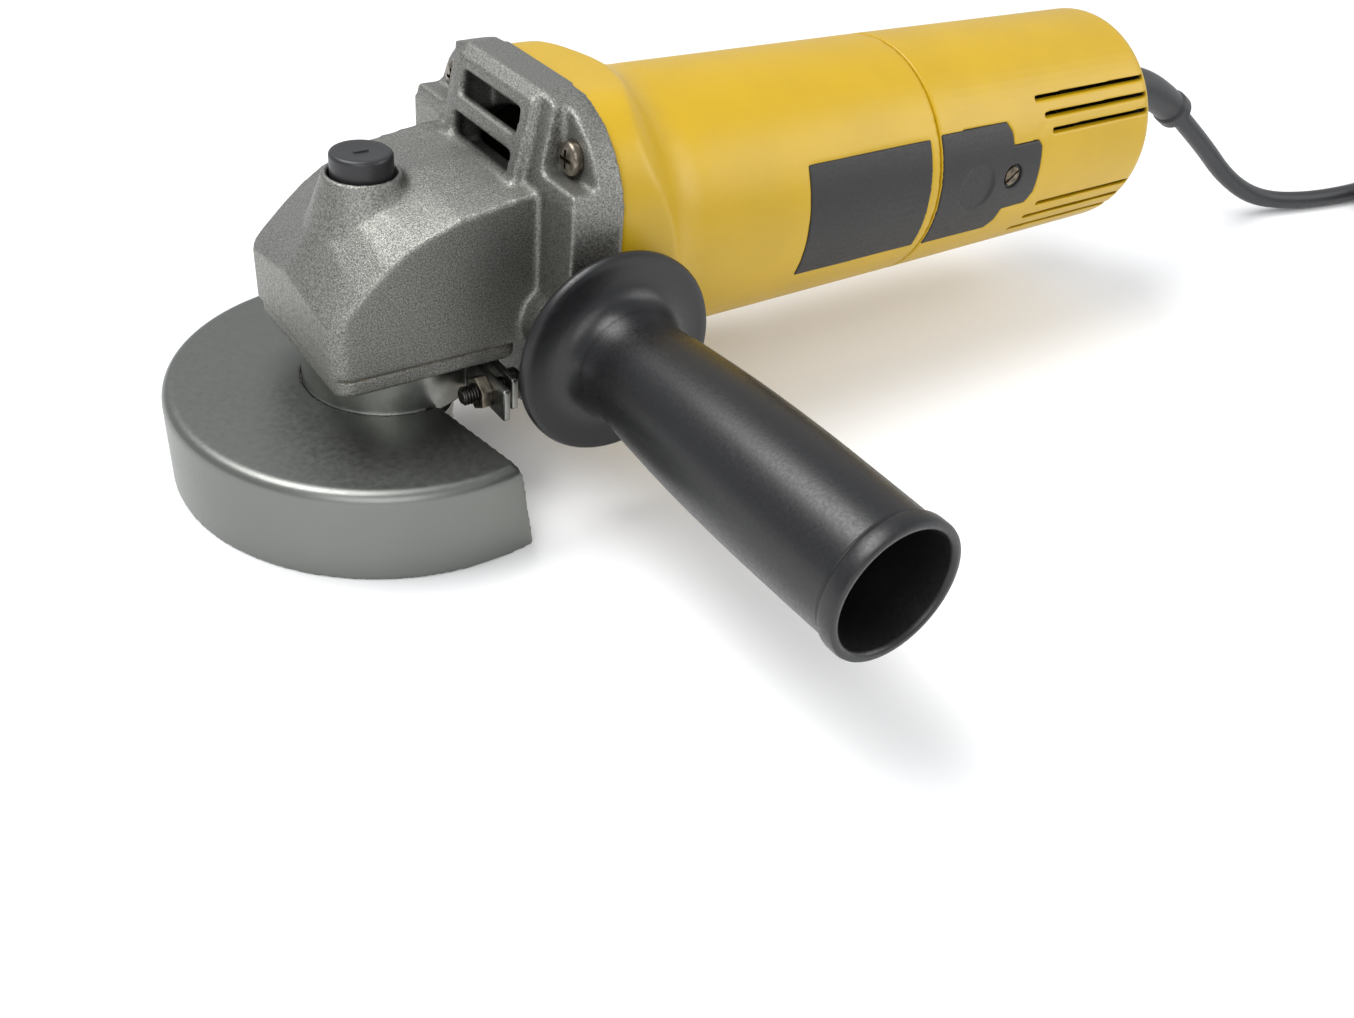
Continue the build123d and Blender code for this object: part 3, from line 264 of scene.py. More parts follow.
def enamelled_copper():
    """Wound enamelled copper wire: glossy amber strands side by side."""
    material, tree, shader, place = new_material("enamelled_copper_wire")
    shader.inputs["Metallic"].default_value = 0.85
    shader.inputs["Coat Weight"].default_value = 0.5
    wire_mm = 0.7
    strands = add(tree, "TexWave", {"Vector": place, "Scale": 0.31 / (wire_mm * MM), "Distortion": 1.5,
                                    "Detail": 1}, wave_type="BANDS", bands_direction="DIAGONAL")
    tone = add(tree, "Mix", {0: strands.outputs["Fac"], MIX_A: srgb("#6E2F14"), MIX_B: srgb("#C4713A")},
               data_type="RGBA")
    tree.links.new(tone.outputs[MIX_OUT], shader.inputs["Base Color"])
    rough_range(tree, shader, strands.outputs["Fac"], 0.25, 0.45)
    relief(tree, shader, strands.outputs["Fac"], 0.25, 1.0)
    return material


def soft_metal(name, light, dark, rough):
    """Plain non-ferrous metal, such as brass, bronze or hard-drawn copper, a little tarnished."""
    material, tree, shader, place = new_material(name)
    shader.inputs["Metallic"].default_value = 1.0
    two_tone(tree, shader, place, 2.5, light, dark)
    grain = add(tree, "TexNoise", {"Vector": place, "Scale": 1 / (0.8 * MM), "Detail": 3})
    rough_range(tree, shader, grain.outputs[0], rough - 0.06, rough + 0.1)
    relief(tree, shader, grain.outputs[0], 0.02, 0.5)
    return material


# ---- plastics, rubber and the rest ----
def moulded_plastic(name, colour, rough=0.42, grain_mm=0.5, depth_mm=0.02, ior=1.53, tone=0.93, coat=0.0):
    """Injection-moulded plastic with a spark-eroded skin and slightly cloudy colour."""
    material, tree, shader, place = new_material(name)
    shader.inputs["IOR"].default_value = ior
    shader.inputs["Coat Weight"].default_value = coat
    shader.inputs["Coat Roughness"].default_value = 0.2
    two_tone(tree, shader, place, 22, colour, scaled(colour, tone))
    skin = add(tree, "TexNoise", {"Vector": place, "Scale": 1 / (grain_mm * MM), "Detail": 2})
    rough_range(tree, shader, skin.outputs[0], rough - 0.05, rough + 0.07)
    relief(tree, shader, skin.outputs[0], depth_mm, 0.8)
    return material


INNER_RADIUS = 32.2             # the moulding's inner surfaces lie inside this radius


def yellow_moulding(colours):
    """Yellow glass-filled nylon; its inside is painted dark grey-brown as painted shade."""
    material = moulded_plastic("yellow_moulded_nylon", colours.housing, 0.38, 0.55, 0.03, tone=0.93)
    tree = material.node_tree
    shader = next(n for n in tree.nodes if n.type == "BSDF_PRINCIPLED")
    place = next(n for n in tree.nodes if n.type == "TEX_COORD").outputs["Object"]
    from_axis = add(tree, "VectorMath", {0: place, 1: (0.0, 0.0, MOTOR_Z * MM)}, operation="SUBTRACT")
    radial = add(tree, "VectorMath", {0: from_axis.outputs[0], 1: (0.0, 1.0, 1.0)}, operation="MULTIPLY")
    radius = add(tree, "VectorMath", {0: radial.outputs[0]}, operation="LENGTH").outputs["Value"]
    # Painted shade: surfaces inside INNER_RADIUS of the motor axis are mixed towards dark grey-brown #2A2620,
    # standing in for the shadow inside the moulding.
    inside = add(tree, "MapRange", {"Value": radius, "From Min": INNER_RADIUS * MM,
                                    "From Max": (INNER_RADIUS + 0.8) * MM, "To Min": 1.0, "To Max": 0.0})
    colour = shader.inputs["Base Color"].links[0].from_socket
    painted_inner_shade = add(tree, "Mix", {0: inside.outputs[0], MIX_A: colour, MIX_B: srgb("#2A2620")}, data_type="RGBA")
    tree.links.new(painted_inner_shade.outputs[MIX_OUT], shader.inputs["Base Color"])
    return material


def soft_rubber(name, colour, rough=0.5):
    """Extruded or moulded PVC and rubber: matt, with a fine dull skin and a dusty bloom."""
    material, tree, shader, place = new_material(name)
    shader.inputs["IOR"].default_value = 1.52
    shader.inputs["Sheen Weight"].default_value = 0.15
    shader.inputs["Sheen Roughness"].default_value = 0.4
    two_tone(tree, shader, place, 9, scaled(colour, 1.25), colour)
    skin = add(tree, "TexNoise", {"Vector": place, "Scale": 1 / (0.6 * MM), "Detail": 3})
    rough_range(tree, shader, skin.outputs[0], rough - 0.06, rough + 0.1)
    relief(tree, shader, skin.outputs[0], 0.03, 0.6)
    return material


def pressed_fibre(name, light, dark, rough=0.8):
    """Matt fibrous or sintered material, such as gasket paper or motor carbon."""
    material, tree, shader, place = new_material(name)
    two_tone(tree, shader, place, 0.8, light, dark, detail=5)
    grain = add(tree, "TexNoise", {"Vector": place, "Scale": 1 / (0.4 * MM), "Detail": 4})
    rough_range(tree, shader, grain.outputs[0], rough - 0.1, rough + 0.08)
    relief(tree, shader, grain.outputs[0], 0.05, 0.7)
    return material


def make_finishes(colours):
    """One material for each slot of the record."""
    zinc_dark = scaled(colours.guard, 0.94)
    return {
        "cast_aluminium": cast_aluminium(colours),
        "gasket_paper": pressed_fibre("gasket_paper", srgb("#6B6250"), srgb("#4A4438")),
        "zinc_steel": plated_sheet("zinc_plated_screw_steel", srgb("#8F877A"), srgb("#5E574D"), 0.3,
                                   cloud_mm=2),
        "ground_steel": turned_steel("ground_bearing_steel", srgb("#C2C2C0"), srgb("#9C9C9A"), 0.2),
        "gear_steel": turned_steel("hobbed_gear_steel", srgb("#8C8A86"), srgb("#5F5D59"), 0.33),
        "guard_steel": plated_sheet("zinc_plated_guard_sheet", colours.guard, zinc_dark, 0.36, 0.003, 45),
        "band_steel": plated_sheet("zinc_plated_band", srgb("#9C9D99"), srgb("#7E7F7B"), 0.3, cloud_mm=8),
        "black_steel": blackened_steel(),
        "black_plastic": moulded_plastic("black_moulded_nylon", srgb("#1C1C1E"), 0.4, 0.6, 0.03),
        "spring_steel": turned_steel("drawn_spring_steel", srgb("#9A9994"), srgb("#75746F"), 0.3),
        "bronze": soft_metal("sintered_bronze", srgb("#A37B43"), srgb("#7C5A2E"), 0.45),
        "black_rubber": soft_rubber("black_moulded_rubber", colours.cord, 0.52),
        "yellow_plastic": yellow_moulding(colours),
        "panel_film": moulded_plastic("matt_panel_film", colours.panel, 0.5, 0.8, 0.02, tone=0.8),
        "panel_plastic": moulded_plastic("charcoal_moulded_plastic", scaled(colours.panel, 1.1), 0.5, 0.7,
                                         0.05, tone=0.8),
        "slotted_steel": plated_sheet("browned_screw_steel", srgb("#857A68"), srgb("#4E463C"), 0.36,
                                      cloud_mm=2),
        "fan_plastic": moulded_plastic("black_fan_plastic", srgb("#202123"), 0.45, 0.8, 0.03),
        "lamination_steel": laminated_steel(),
        "copper_winding": enamelled_copper(),
        "copper_bar": soft_metal("hard_drawn_copper", srgb("#B9683C"), srgb("#8F4A29"), 0.28),
        "brass_holder": soft_metal("stamped_brass", srgb("#C3A25A"), srgb("#9A7C3C"), 0.3),
        "carbon": pressed_fibre("motor_carbon", srgb("#232324"), srgb("#141415"), 0.6),
        "capacitor_case": moulded_plastic("capacitor_case_plastic", srgb("#C9C4B4"), 0.4),
        "white_nylon": moulded_plastic("white_nylon", srgb("#D9D7CF"), 0.42),
        "lead_insulation": soft_rubber("red_lead_insulation", srgb("#7A1D16"), 0.42),
        "cord_rubber": soft_rubber("black_cord_sheath", colours.cord, 0.48),
        "plug_plastic": moulded_plastic("black_plug_plastic", srgb("#1B1C1E"), 0.42, 0.6, 0.03),
        "brass_pin": soft_metal("nickelled_brass", srgb("#C9C3B0"), srgb("#A8A08A"), 0.22),
        "grip_plastic": moulded_plastic("satin_black_grip_plastic", colours.grip, 0.36, 0.8, 0.025,
                                        tone=0.85),
    }


FINISHES = {}


# ---- mesh helpers ----
def add_piece(name, bm, slot, body, replaces=(), smooth_angle=35.0):
    """Turn a bmesh in millimetres into a finished object that rides on a body."""
    bmesh.ops.scale(bm, vec=(MM, MM, MM), verts=bm.verts)
    mesh = bpy.data.meshes.new(name)
    bm.to_mesh(mesh)
    bm.free()
    return add_mesh(name, mesh, slot, body, replaces, smooth_angle)


def add_mesh(name, mesh, slot, body, replaces=(), smooth_angle=35.0):
    piece = bpy.data.objects.new(name, mesh)
    bpy.context.scene.collection.objects.link(piece)
    mesh.materials.clear()
    mesh.materials.append(FINISHES[slot])
    mesh.shade_smooth()
    mesh.set_sharp_from_angle(angle=radians(smooth_angle))
    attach(piece, body)
    if replaces:
        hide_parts(*replaces)
    return piece


def clean(bm, distance=0.001):
    bmesh.ops.remove_doubles(bm, verts=bm.verts, dist=distance)
    bmesh.ops.recalc_face_normals(bm, faces=bm.faces)
    return bm


def turned(profile, steps=96, closed=True):
    """Turn (radius, z) points about Z. A closed profile makes a ring, an open one ends on the axis."""
    bm = bmesh.new()
    verts = [bm.verts.new((r, 0, z)) for r, z in profile]
    pairs = list(zip(verts, verts[1:]))
    if closed:
        pairs.append((verts[-1], verts[0]))
    edges = [bm.edges.new(pair) for pair in pairs]
    bmesh.ops.spin(bm, geom=verts + edges, cent=(0, 0, 0), axis=(0, 0, 1), angle=2 * pi, steps=steps,
                   use_merge=True, use_duplicate=False)
    return clean(bm)


def arc(centre, radius, start, end, count):
    """Points of a circular arc for a profile, angles in degrees."""
    step = (end - start) / (count - 1)
    angles = [radians(start + step * i) for i in range(count)]
    return [(centre[0] + radius * cos(a), centre[1] + radius * sin(a)) for a in angles]


def place(bm, turn=(0, 0, 0), move=(0, 0, 0)):
    """Turn a whole bmesh about X, Y and Z in degrees, then move it."""
    matrix = Matrix.Translation(move)
    for axis, angle in zip("ZYX", reversed(turn)):
        matrix = matrix @ Matrix.Rotation(radians(angle), 4, axis)
    bmesh.ops.transform(bm, matrix=matrix, verts=bm.verts)
    return bm


def slab(outline, thickness, normal="Z", at=0.0, round_mm=0.0, segments=3):
    """Flat plate from an outline, extruded along its normal and with bevelled edges."""
    bm = bmesh.new()
    bm.faces.new([bm.verts.new((u, v, 0)) for u, v in outline])
    extruded = bmesh.ops.extrude_face_region(bm, geom=list(bm.faces))
    raised = [e for e in extruded["geom"] if isinstance(e, bmesh.types.BMVert)]
    bmesh.ops.translate(bm, vec=(0, 0, thickness), verts=raised)
    bmesh.ops.recalc_face_normals(bm, faces=bm.faces)
    if round_mm:
        bevel(bm, list(bm.edges), round_mm, segments)
    if normal == "X":
        place(bm, turn=(90, 0, 90))
        bmesh.ops.translate(bm, vec=(at, 0, 0), verts=bm.verts)
    elif normal == "Y":
        place(bm, turn=(90, 0, 0))
        bmesh.ops.translate(bm, vec=(0, at + thickness, 0), verts=bm.verts)
    else:
        bmesh.ops.translate(bm, vec=(0, 0, at), verts=bm.verts)
    return bm


def bevel(bm, edges, width, segments=2):
    bmesh.ops.bevel(bm, geom=edges, offset=width, offset_type="OFFSET", segments=segments, profile=0.5,
                    affect="EDGES", clamp_overlap=True, material=-1)


def join(*parts):
    """Join several bmeshes into the first one."""
    whole = parts[0]
    for part in parts[1:]:
        mesh = bpy.data.meshes.new("part")
        part.to_mesh(mesh)
        part.free()
        whole.from_mesh(mesh)
        bpy.data.meshes.remove(mesh)
    return whole


def swept(stations, steps=32):
    """Tube through (centre, direction, radius) stations, closed at both ends."""
    bm = bmesh.new()
    loop = None
    for centre, direction, radius in stations:
        turn = Vector(direction).to_track_quat("Z", "Y").to_matrix().to_4x4()
        matrix = Matrix.Translation(centre) @ turn
        made = bmesh.ops.create_circle(bm, cap_ends=False, radius=radius, segments=steps, matrix=matrix)
        ring = list({e for v in made["verts"] for e in v.link_edges})
        if loop:
            bmesh.ops.bridge_loops(bm, edges=loop + ring)
        loop = ring
    bmesh.ops.holes_fill(bm, edges=[e for e in bm.edges if e.is_boundary], sides=0)
    return clean(bm)


def cad_copy(node):
    """Merged copy of a CAD node's mesh, in millimetres."""
    bm = bmesh.new()
    bm.from_mesh(frame["nodes"][node].data)
    bmesh.ops.scale(bm, vec=(1 / MM, 1 / MM, 1 / MM), verts=bm.verts)
    bmesh.ops.remove_doubles(bm, verts=bm.verts, dist=0.002)
    return bm


def evaluated(piece):
    """Mesh of a piece with its modifiers applied; the piece keeps only that mesh."""
    graph = bpy.context.evaluated_depsgraph_get()
    mesh = bpy.data.meshes.new_from_object(piece.evaluated_get(graph))
    piece.modifiers.clear()
    piece.data = mesh
    return piece


def cut(bm, cutter):
    """Take the cutter's space out of a bmesh; both are closed and in millimetres."""
    whole = bpy.data.objects.new("whole", bpy.data.meshes.new("whole"))
    tool = bpy.data.objects.new("tool", bpy.data.meshes.new("tool"))
    for piece, source in ((whole, bm), (tool, cutter)):
        source.to_mesh(piece.data)
        source.free()
        bpy.context.scene.collection.objects.link(piece)
    boolean = whole.modifiers.new("cut", "BOOLEAN")
    boolean.operation = "DIFFERENCE"
    boolean.solver = "EXACT"
    boolean.object = tool
    evaluated(whole)
    result = bmesh.new()
    result.from_mesh(whole.data)
    for piece in (whole, tool):
        bpy.data.objects.remove(piece)
    return result


def cad_mesh(name, node, slot, body):
    """A piece that starts as a merged copy of a CAD node."""
    bm = cad_copy(node)
    bmesh.ops.recalc_face_normals(bm, faces=bm.faces)
    return add_piece(name, bm, slot, body, (node,))


def softened(name, node, slot, body, voxel_mm, passes=5, keep=1.0):
    """A CAD node laid on a fine grid and relaxed, which rounds all its edges a little, then thinned out."""
    piece = cad_mesh(name, node, slot, body)
    grid = piece.modifiers.new("grid", "REMESH")
    grid.mode = "VOXEL"
    grid.voxel_size = voxel_mm * MM
    relax = piece.modifiers.new("relax", "SMOOTH")
    relax.factor = 0.5
    relax.iterations = passes
    if keep < 1.0:
        thin = piece.modifiers.new("thin", "DECIMATE")
        thin.ratio = keep
    evaluated(piece)
    piece.data.shade_smooth()
    return piece


def flowing(points, steps=6):
    """Smooth curve through a list of points, with extra points between them."""
    padded = [points[0], *points, points[-1]]
    curve = []
    for a, b, c, d in zip(padded, padded[1:], padded[2:], padded[3:]):
        for i in range(steps):
            t = i / steps
            curve.append(tuple(0.5 * (2 * q + (r - p) * t + (2 * p - 5 * q + 4 * r - s) * t * t
                                      + (3 * q - p - 3 * r + s) * t ** 3) for p, q, r, s in zip(a, b, c, d)))
    return curve + [points[-1]]


def thread(radius, pitch, low, high, depth_part=0.6):
    """Profile of a screw thread between two heights: rounded crests and narrow roots."""
    points = []
    root = radius - depth_part * pitch
    z = low
    while z + pitch < high:
        points += [(root, z), (radius - 0.08 * pitch, z + 0.36 * pitch), (radius, z + 0.5 * pitch),
                   (radius - 0.08 * pitch, z + 0.64 * pitch)]
        z += pitch
    return points + [(root, z), (radius - 0.1, high)]


def cross_recess(width, length, depth, at):
    """Cutter for a cross recess whose floor lies depth below the height it starts from."""
    bars = []
    for turn in (0, 90):
        outline = [(-length / 2, -width / 2), (length / 2, -width / 2), (length / 2, width / 2),
                   (-length / 2, width / 2)]
        bars.append(place(slab(outline, depth + 1), turn=(0, 0, turn), move=(0, 0, at - depth)))
    return bars


def screw_body(radius, head_radius, head, length, shank_pitch=0.9):
    """Pan-head screw that points down from its seat at z = 0, with a cross recess."""
    crown = arc((head_radius - 1.3, head - 1.3), 1.3, 0, 65, 6)
    profile = ([(0, head + 0.25), (head_radius * 0.45, head + 0.18)] + list(reversed(crown))
               + [(head_radius, 0.1), (head_radius - 0.15, 0)]
               + [(r, -z) for r, z in thread(radius, shank_pitch, 0.4, length)] + [(0, -length - 0.4)])
    bm = turned(profile, 48, closed=False)
    for bar in cross_recess(0.95, head_radius * 1.15, head * 0.55, head + 0.25):
        bm = cut(bm, bar)
    return bm


# ---- sizes of the small pieces, in millimetres ----
BUTTON_GAP = 0.25               # kept from the well in the casting, besides the CAD's own gap
CASE_HEAD = 2.8                 # height of a case screw's head
CASE_HEAD_R = 4.2
CASE_SHANK_R = 2.15
CASE_PITCH = 1.4
CLAMP_HEAD = 3.0
CLAMP_SCREW_R = 2.46
CLAMP_PITCH = 0.8
HATCH_HEAD_R = 2.95
HATCH_HEAD = 1.0
HATCH_SHANK = 4.6
HATCH_SEAT_DEPTH = 1.2          # from the CAD screw's top to its seat
CORD_SHEATH_R = 3.5
GRIP_BORE = 5.1                 # around the stud's collar


# ---- operators ----
class GrinderFinishes(bpy.types.Operator):
    """Make every material and give each CAD node the one of its slot"""
    bl_idname = "grinder.finishes"
    bl_label = "Finishes"

    def execute(self, context):
        FINISHES.update(make_finishes(context.scene.grinder_colours))
        slots = {n["name"]: n.get("material") for n in frame["record"].get("nodes", []) if "name" in n}
        for name, node in frame["nodes"].items():
            slot = slots.get(name) or node.data.materials[0].name.split(".")[0]
            for index in range(len(node.data.materials)):
                node.data.materials[index] = FINISHES[slot]
        return {"FINISHED"}


CAMERA_PLACE = Vector((-0.1220, -0.2859, 0.2115))
CAMERA_AZIMUTH = -38.05
CAMERA_ELEVATION = 36.63
CAMERA_ROLL = 6.07
CAMERA_LENS = 35.377
CAMERA_SENSOR = 36.0
FLOOR_SIZE = 8.0


def make_camera(scene):
    azimuth, elevation = radians(CAMERA_AZIMUTH), radians(CAMERA_ELEVATION)
    back = Vector((sin(azimuth) * cos(elevation), -cos(azimuth) * cos(elevation), sin(elevation)))
    right = Vector((cos(azimuth), sin(azimuth), 0))
    up = back.cross(right)
    turn = Matrix((right, up, back)).transposed().to_4x4() @ Matrix.Rotation(radians(CAMERA_ROLL), 4, "Z")
    data = bpy.data.cameras.new("camera")
    data.lens = CAMERA_LENS
    data.sensor_width = CAMERA_SENSOR
    data.sensor_fit = "HORIZONTAL"
    data.clip_start = 0.01
    camera = bpy.data.objects.new("camera", data)
    camera.matrix_world = Matrix.Translation(CAMERA_PLACE) @ turn
    scene.collection.objects.link(camera)
    scene.camera = camera


def area_light(name, place_at, target, size, watts):
    data = bpy.data.lights.new(name, "AREA")
    data.shape = "RECTANGLE"
    data.size, data.size_y = size
    data.energy = watts
    light = bpy.data.objects.new(name, data)
    light.location = place_at
    light.rotation_euler = (Vector(target) - Vector(place_at)).to_track_quat("-Z", "Y").to_euler()
    bpy.context.scene.collection.objects.link(light)


class GrinderStage(bpy.types.Operator):
    """Make the floor, the soft lights, the pale surroundings and the camera"""
    bl_idname = "grinder.stage"
    bl_label = "Stage"

    def execute(self, context):
        make_camera(context.scene)
        bm = bmesh.new()
        bmesh.ops.create_grid(bm, x_segments=1, y_segments=1, size=FLOOR_SIZE / 2)
        bmesh.ops.translate(bm, vec=(0, 0, CAD_BOX[0][2] - 0.0001), verts=bm.verts)
        mesh = bpy.data.meshes.new("floor")
        bm.to_mesh(mesh)
        bm.free()
        floor = bpy.data.objects.new("floor", mesh)
        context.scene.collection.objects.link(floor)
        material, tree, shader, spot = new_material("matt_studio_board")
        shader.inputs["Roughness"].default_value = 0.9
        two_tone(tree, shader, spot, 300, context.scene.grinder_colours.floor,
                 scaled(context.scene.grinder_colours.floor, 0.97))
        mesh.materials.append(material)
        middle = (0.08, 0.0, 0.05)
        area_light("key", (-0.25, 0.25, 0.95), middle, (0.7, 0.5), 9)
        area_light("front_fill", (-0.5, -0.8, 0.6), middle, (0.8, 0.8), 4.5)
        area_light("right_fill", (0.8, -0.5, 0.5), middle, (0.6, 0.6), 3)
        world = bpy.data.worlds.new("pale_room")
        world.use_nodes = True
        sky = next(n for n in world.node_tree.nodes if n.type == "BACKGROUND")
        sky.inputs["Color"].default_value = srgb("#F2F4F7")
        sky.inputs["Strength"].default_value = 0.7
        context.scene.world = world
        context.scene.view_settings.view_transform = "Standard"
        return {"FINISHED"}


# ---- cord, boot and plug ----
CORD_EXIT = (315.0, 0.0, 50.5)
CORD_ROUTE = [
    CORD_EXIT,
    (338.5, 0.0, 35.0),
    (361.0, -1.0, 17.5),
    (384.0, -4.0, 5.5),
    (409.0, -10.0, 2.55),
    (437.0, -14.0, 2.55),
    (462.5, -13.5, 2.55),
]
COIL_CENTRE = (476.0, -63.7)
COIL_OUTER = 52.0               # radius of the outermost turn
COIL_TURNS_DOWN = 3.65          # turns of the lower layer, wound inwards
COIL_TURNS_UP = 3.65            # turns of the upper layer, wound outwards
COIL_ENTRY = 105.0              # degrees
COIL_PITCH = 7.0
POINTS_PER_TURN = 16
REST_Z = 2.55
TAIL_END = (528.0, -104.0)


def coil_points():
    """Two flat spirals on each other, the lower wound inwards and the upper outwards."""
    points = []
    down = round(COIL_TURNS_DOWN * POINTS_PER_TURN)
    total = down + round(COIL_TURNS_UP * POINTS_PER_TURN)
    for i in range(1, total + 1):
        angle = radians(COIL_ENTRY - 360 * i / POINTS_PER_TURN)
        inward = min(i, 2 * down - i)
        radius = COIL_OUTER - COIL_PITCH * inward / POINTS_PER_TURN
        climb = min(1.0, max(0.0, (i - down + 3) / 6))
        points.append((COIL_CENTRE[0] + radius * cos(angle), COIL_CENTRE[1] + radius * sin(angle),
                       REST_Z + COIL_PITCH * climb))
    return points


def make_cord(sizes):
    points = CORD_ROUTE + coil_points()
    last = points[-1]
    points += [(last[0] + 0.6, last[1] - 12, REST_Z + COIL_PITCH * 0.7),
               (TAIL_END[0], TAIL_END[1] + 12, REST_Z),
               (*TAIL_END, PLUG_Z)]
    curve = bpy.data.curves.new("mains_cord", "CURVE")
    curve.dimensions = "3D"
    spline = curve.splines.new("NURBS")
    spline.points.add(len(points) - 1)
    for spot, (x, y, z) in zip(spline.points, points):
        spot.co = (x * MM, y * MM, z * MM, 1)
    spline.order_u = 3
    spline.use_endpoint_u = True
    spline.resolution_u = 6
    curve.bevel_depth = sizes.cord_diameter / 2
    curve.bevel_resolution = 4
    curve.use_fill_caps = True
    curve.materials.append(FINISHES["cord_rubber"])
    cord = bpy.data.objects.new("mains_cord", curve)
    bpy.context.scene.collection.objects.link(cord)
    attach(cord, "root")
    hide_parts("cord", "cord_coil")
    return cord


BOOT_START_X = 252.0
BOOT_SLEEVE_R = 6.2
BOOT_RIM_X = (309.5, 314.6)


def boot_stations():
    """Centre, direction and place along the boot, which bends down behind the rear cover."""
    exit_z = mm_box("inner_cord")[0].z + CORD_SHEATH_R
    spine = flowing([(BOOT_START_X, exit_z), (270, exit_z - 1.0), (288, exit_z - 4.6), (302, exit_z - 10.2),
                     (CORD_EXIT[0], CORD_EXIT[2])], 16)
    stations = []
    for here, after in zip(spine, spine[1:]):
        stations.append(((here[0], 0, here[1]), (after[0] - here[0], 0, after[1] - here[1]), here[0]))
    stations.append(((spine[-1][0], 0, spine[-1][1]), stations[-1][1], spine[-1][0]))
    return stations


def boot_radius(x):
    if x < 259:
        return 8.2
    if x < 261:
        return 8.2 - (x - 259) * 0.5
    if x > BOOT_RIM_X[0]:
        return BOOT_SLEEVE_R + 0.1 if x < BOOT_RIM_X[1] else BOOT_SLEEVE_R - 0.5
    return 7.2 - 1.6 * (x - 261) / (BOOT_RIM_X[0] - 261)


def make_boot():
    stations = [(centre, ahead, boot_radius(x)) for centre, ahead, x in boot_stations()]
    return add_piece("cord_boot_sleeve", swept(stations, 40), "black_rubber", "root", ("cord_boot",))


class GrinderHead(bpy.types.Operator):
    """Cast gear case, bearing cover, spindle lock button and their screws"""
    bl_idname = "grinder.head"
    bl_label = "Gear head"

    def execute(self, context):
        grid = context.scene.grinder_sizes.cast_radius / MM
        softened("gear_case_casting", "gear_case", "cast_aluminium", "root", grid, 4)
        softened("bearing_cover_casting", "bearing_cover", "cast_aluminium", "root", 0.55, 4)
        make_lock_button()
        softened("cover_screw_set", "cover_screws", "zinc_steel", "root", 0.22, 3)
        make_case_screws()
        return {"FINISHED"}


def make_lock_button():
    """Round button with a soft upper edge, a shallow dish and a short raised mark."""
    radius = CAP_R - BUTTON_GAP
    height = CAP_HIGH.z - CAP_LOW.z
    crown = arc((radius - 1.1, height - 1.1), 1.1, 0, 80, 7)
    dish = [(radius - 2.2, height - 0.12), (0, height - 0.3)]
    profile = [(0, 0), (radius - 0.4, 0), (radius, 0.4)] + crown + dish
    bm = turned(profile, 96, closed=False)
    mark = slab([(-1.9, -0.45), (1.9, -0.45), (1.9, 0.45), (-1.9, 0.45)], 0.9, at=height - 0.8, round_mm=0.2)
    place(join(bm, mark), move=(CAP_X, 0, CAP_LOW.z))
    return add_piece("lock_button", bm, "black_plastic", "spindle_lock", ("lock_cap",), 40)


def make_case_screws():
    low, high = mm_box("case_screws")
    seat_x = low.x + CASE_HEAD
    offset = (high.y - low.y) / 2 - CASE_HEAD_R
    parts = []
    for sy in (-1, 1):
        for sz in (-1, 1):
            one = screw_body(CASE_SHANK_R, CASE_HEAD_R, CASE_HEAD - 0.3, high.x - seat_x - 0.5, CASE_PITCH)
            parts.append(place(one, turn=(0, -90, 0), move=(seat_x, sy * offset, MOTOR_Z + sz * offset)))
    add_piece("case_screw_set", join(*parts), "zinc_steel", "root", ("case_screws",))


class GrinderGuard(bpy.types.Operator):
    """Wheel guard, its clamp band with the screw and nut, and the wheel's lock nut"""
    bl_idname = "grinder.guard"
    bl_label = "Guard"

    def execute(self, context):
        softened("guard_pressing", "guard_shell", "guard_steel", "guard", 0.5, 5)
        softened("guard_clamp_band", "guard_band", "band_steel", "guard", 0.4, 3)
        softened("wheel_lock_nut", "lock_nut", "ground_steel", "wheel_nut", 0.35, 3)
        softened("clamp_hex_nut", "clamp_nut", "zinc_steel", "guard", 0.2, 2)
        low, high = mm_box("clamp_screw")
        y, z = (low.y + high.y) / 2, (low.z + high.z) / 2
        length = high.x - low.x - CLAMP_HEAD
        profile = [(0, 0.2), (1.9, 0.0)] + thread(CLAMP_SCREW_R, CLAMP_PITCH, 0.2, length) + [
            (4.0, length), (4.2, length + 0.3), (4.2, length + CLAMP_HEAD - 0.8),
            (3.6, length + CLAMP_HEAD - 0.2), (0, length + CLAMP_HEAD)]
        bm = place(turned(profile, 48, closed=False), turn=(0, 90, 0), move=(low.x, y, z))
        add_piece("clamp_bolt", bm, "black_steel", "guard", ("clamp_screw",), 30)
        return {"FINISHED"}


class GrinderBody(bpy.types.Operator):
    """Motor housing, rear cover, panels, brush hatches and the switch button"""
    bl_idname = "grinder.body"
    bl_label = "Motor body"

    def execute(self, context):
        softened("housing_moulding", "motor_housing", "yellow_plastic", "root", 0.95, 6, 0.9)
        softened("rear_cover_moulding", "rear_cover", "yellow_plastic", "root", 0.4, 6, 0.22)
        softened("side_panel_films", "side_panels", "panel_film", "root", 0.3, 4)
        softened("brush_hatches", "brush_covers", "panel_plastic", "root", 0.34, 4)
        make_hatch_screws()
        softened("switch_slide", "switch_button", "black_plastic", "switch_slider", 0.26, 4)
        return {"FINISHED"}


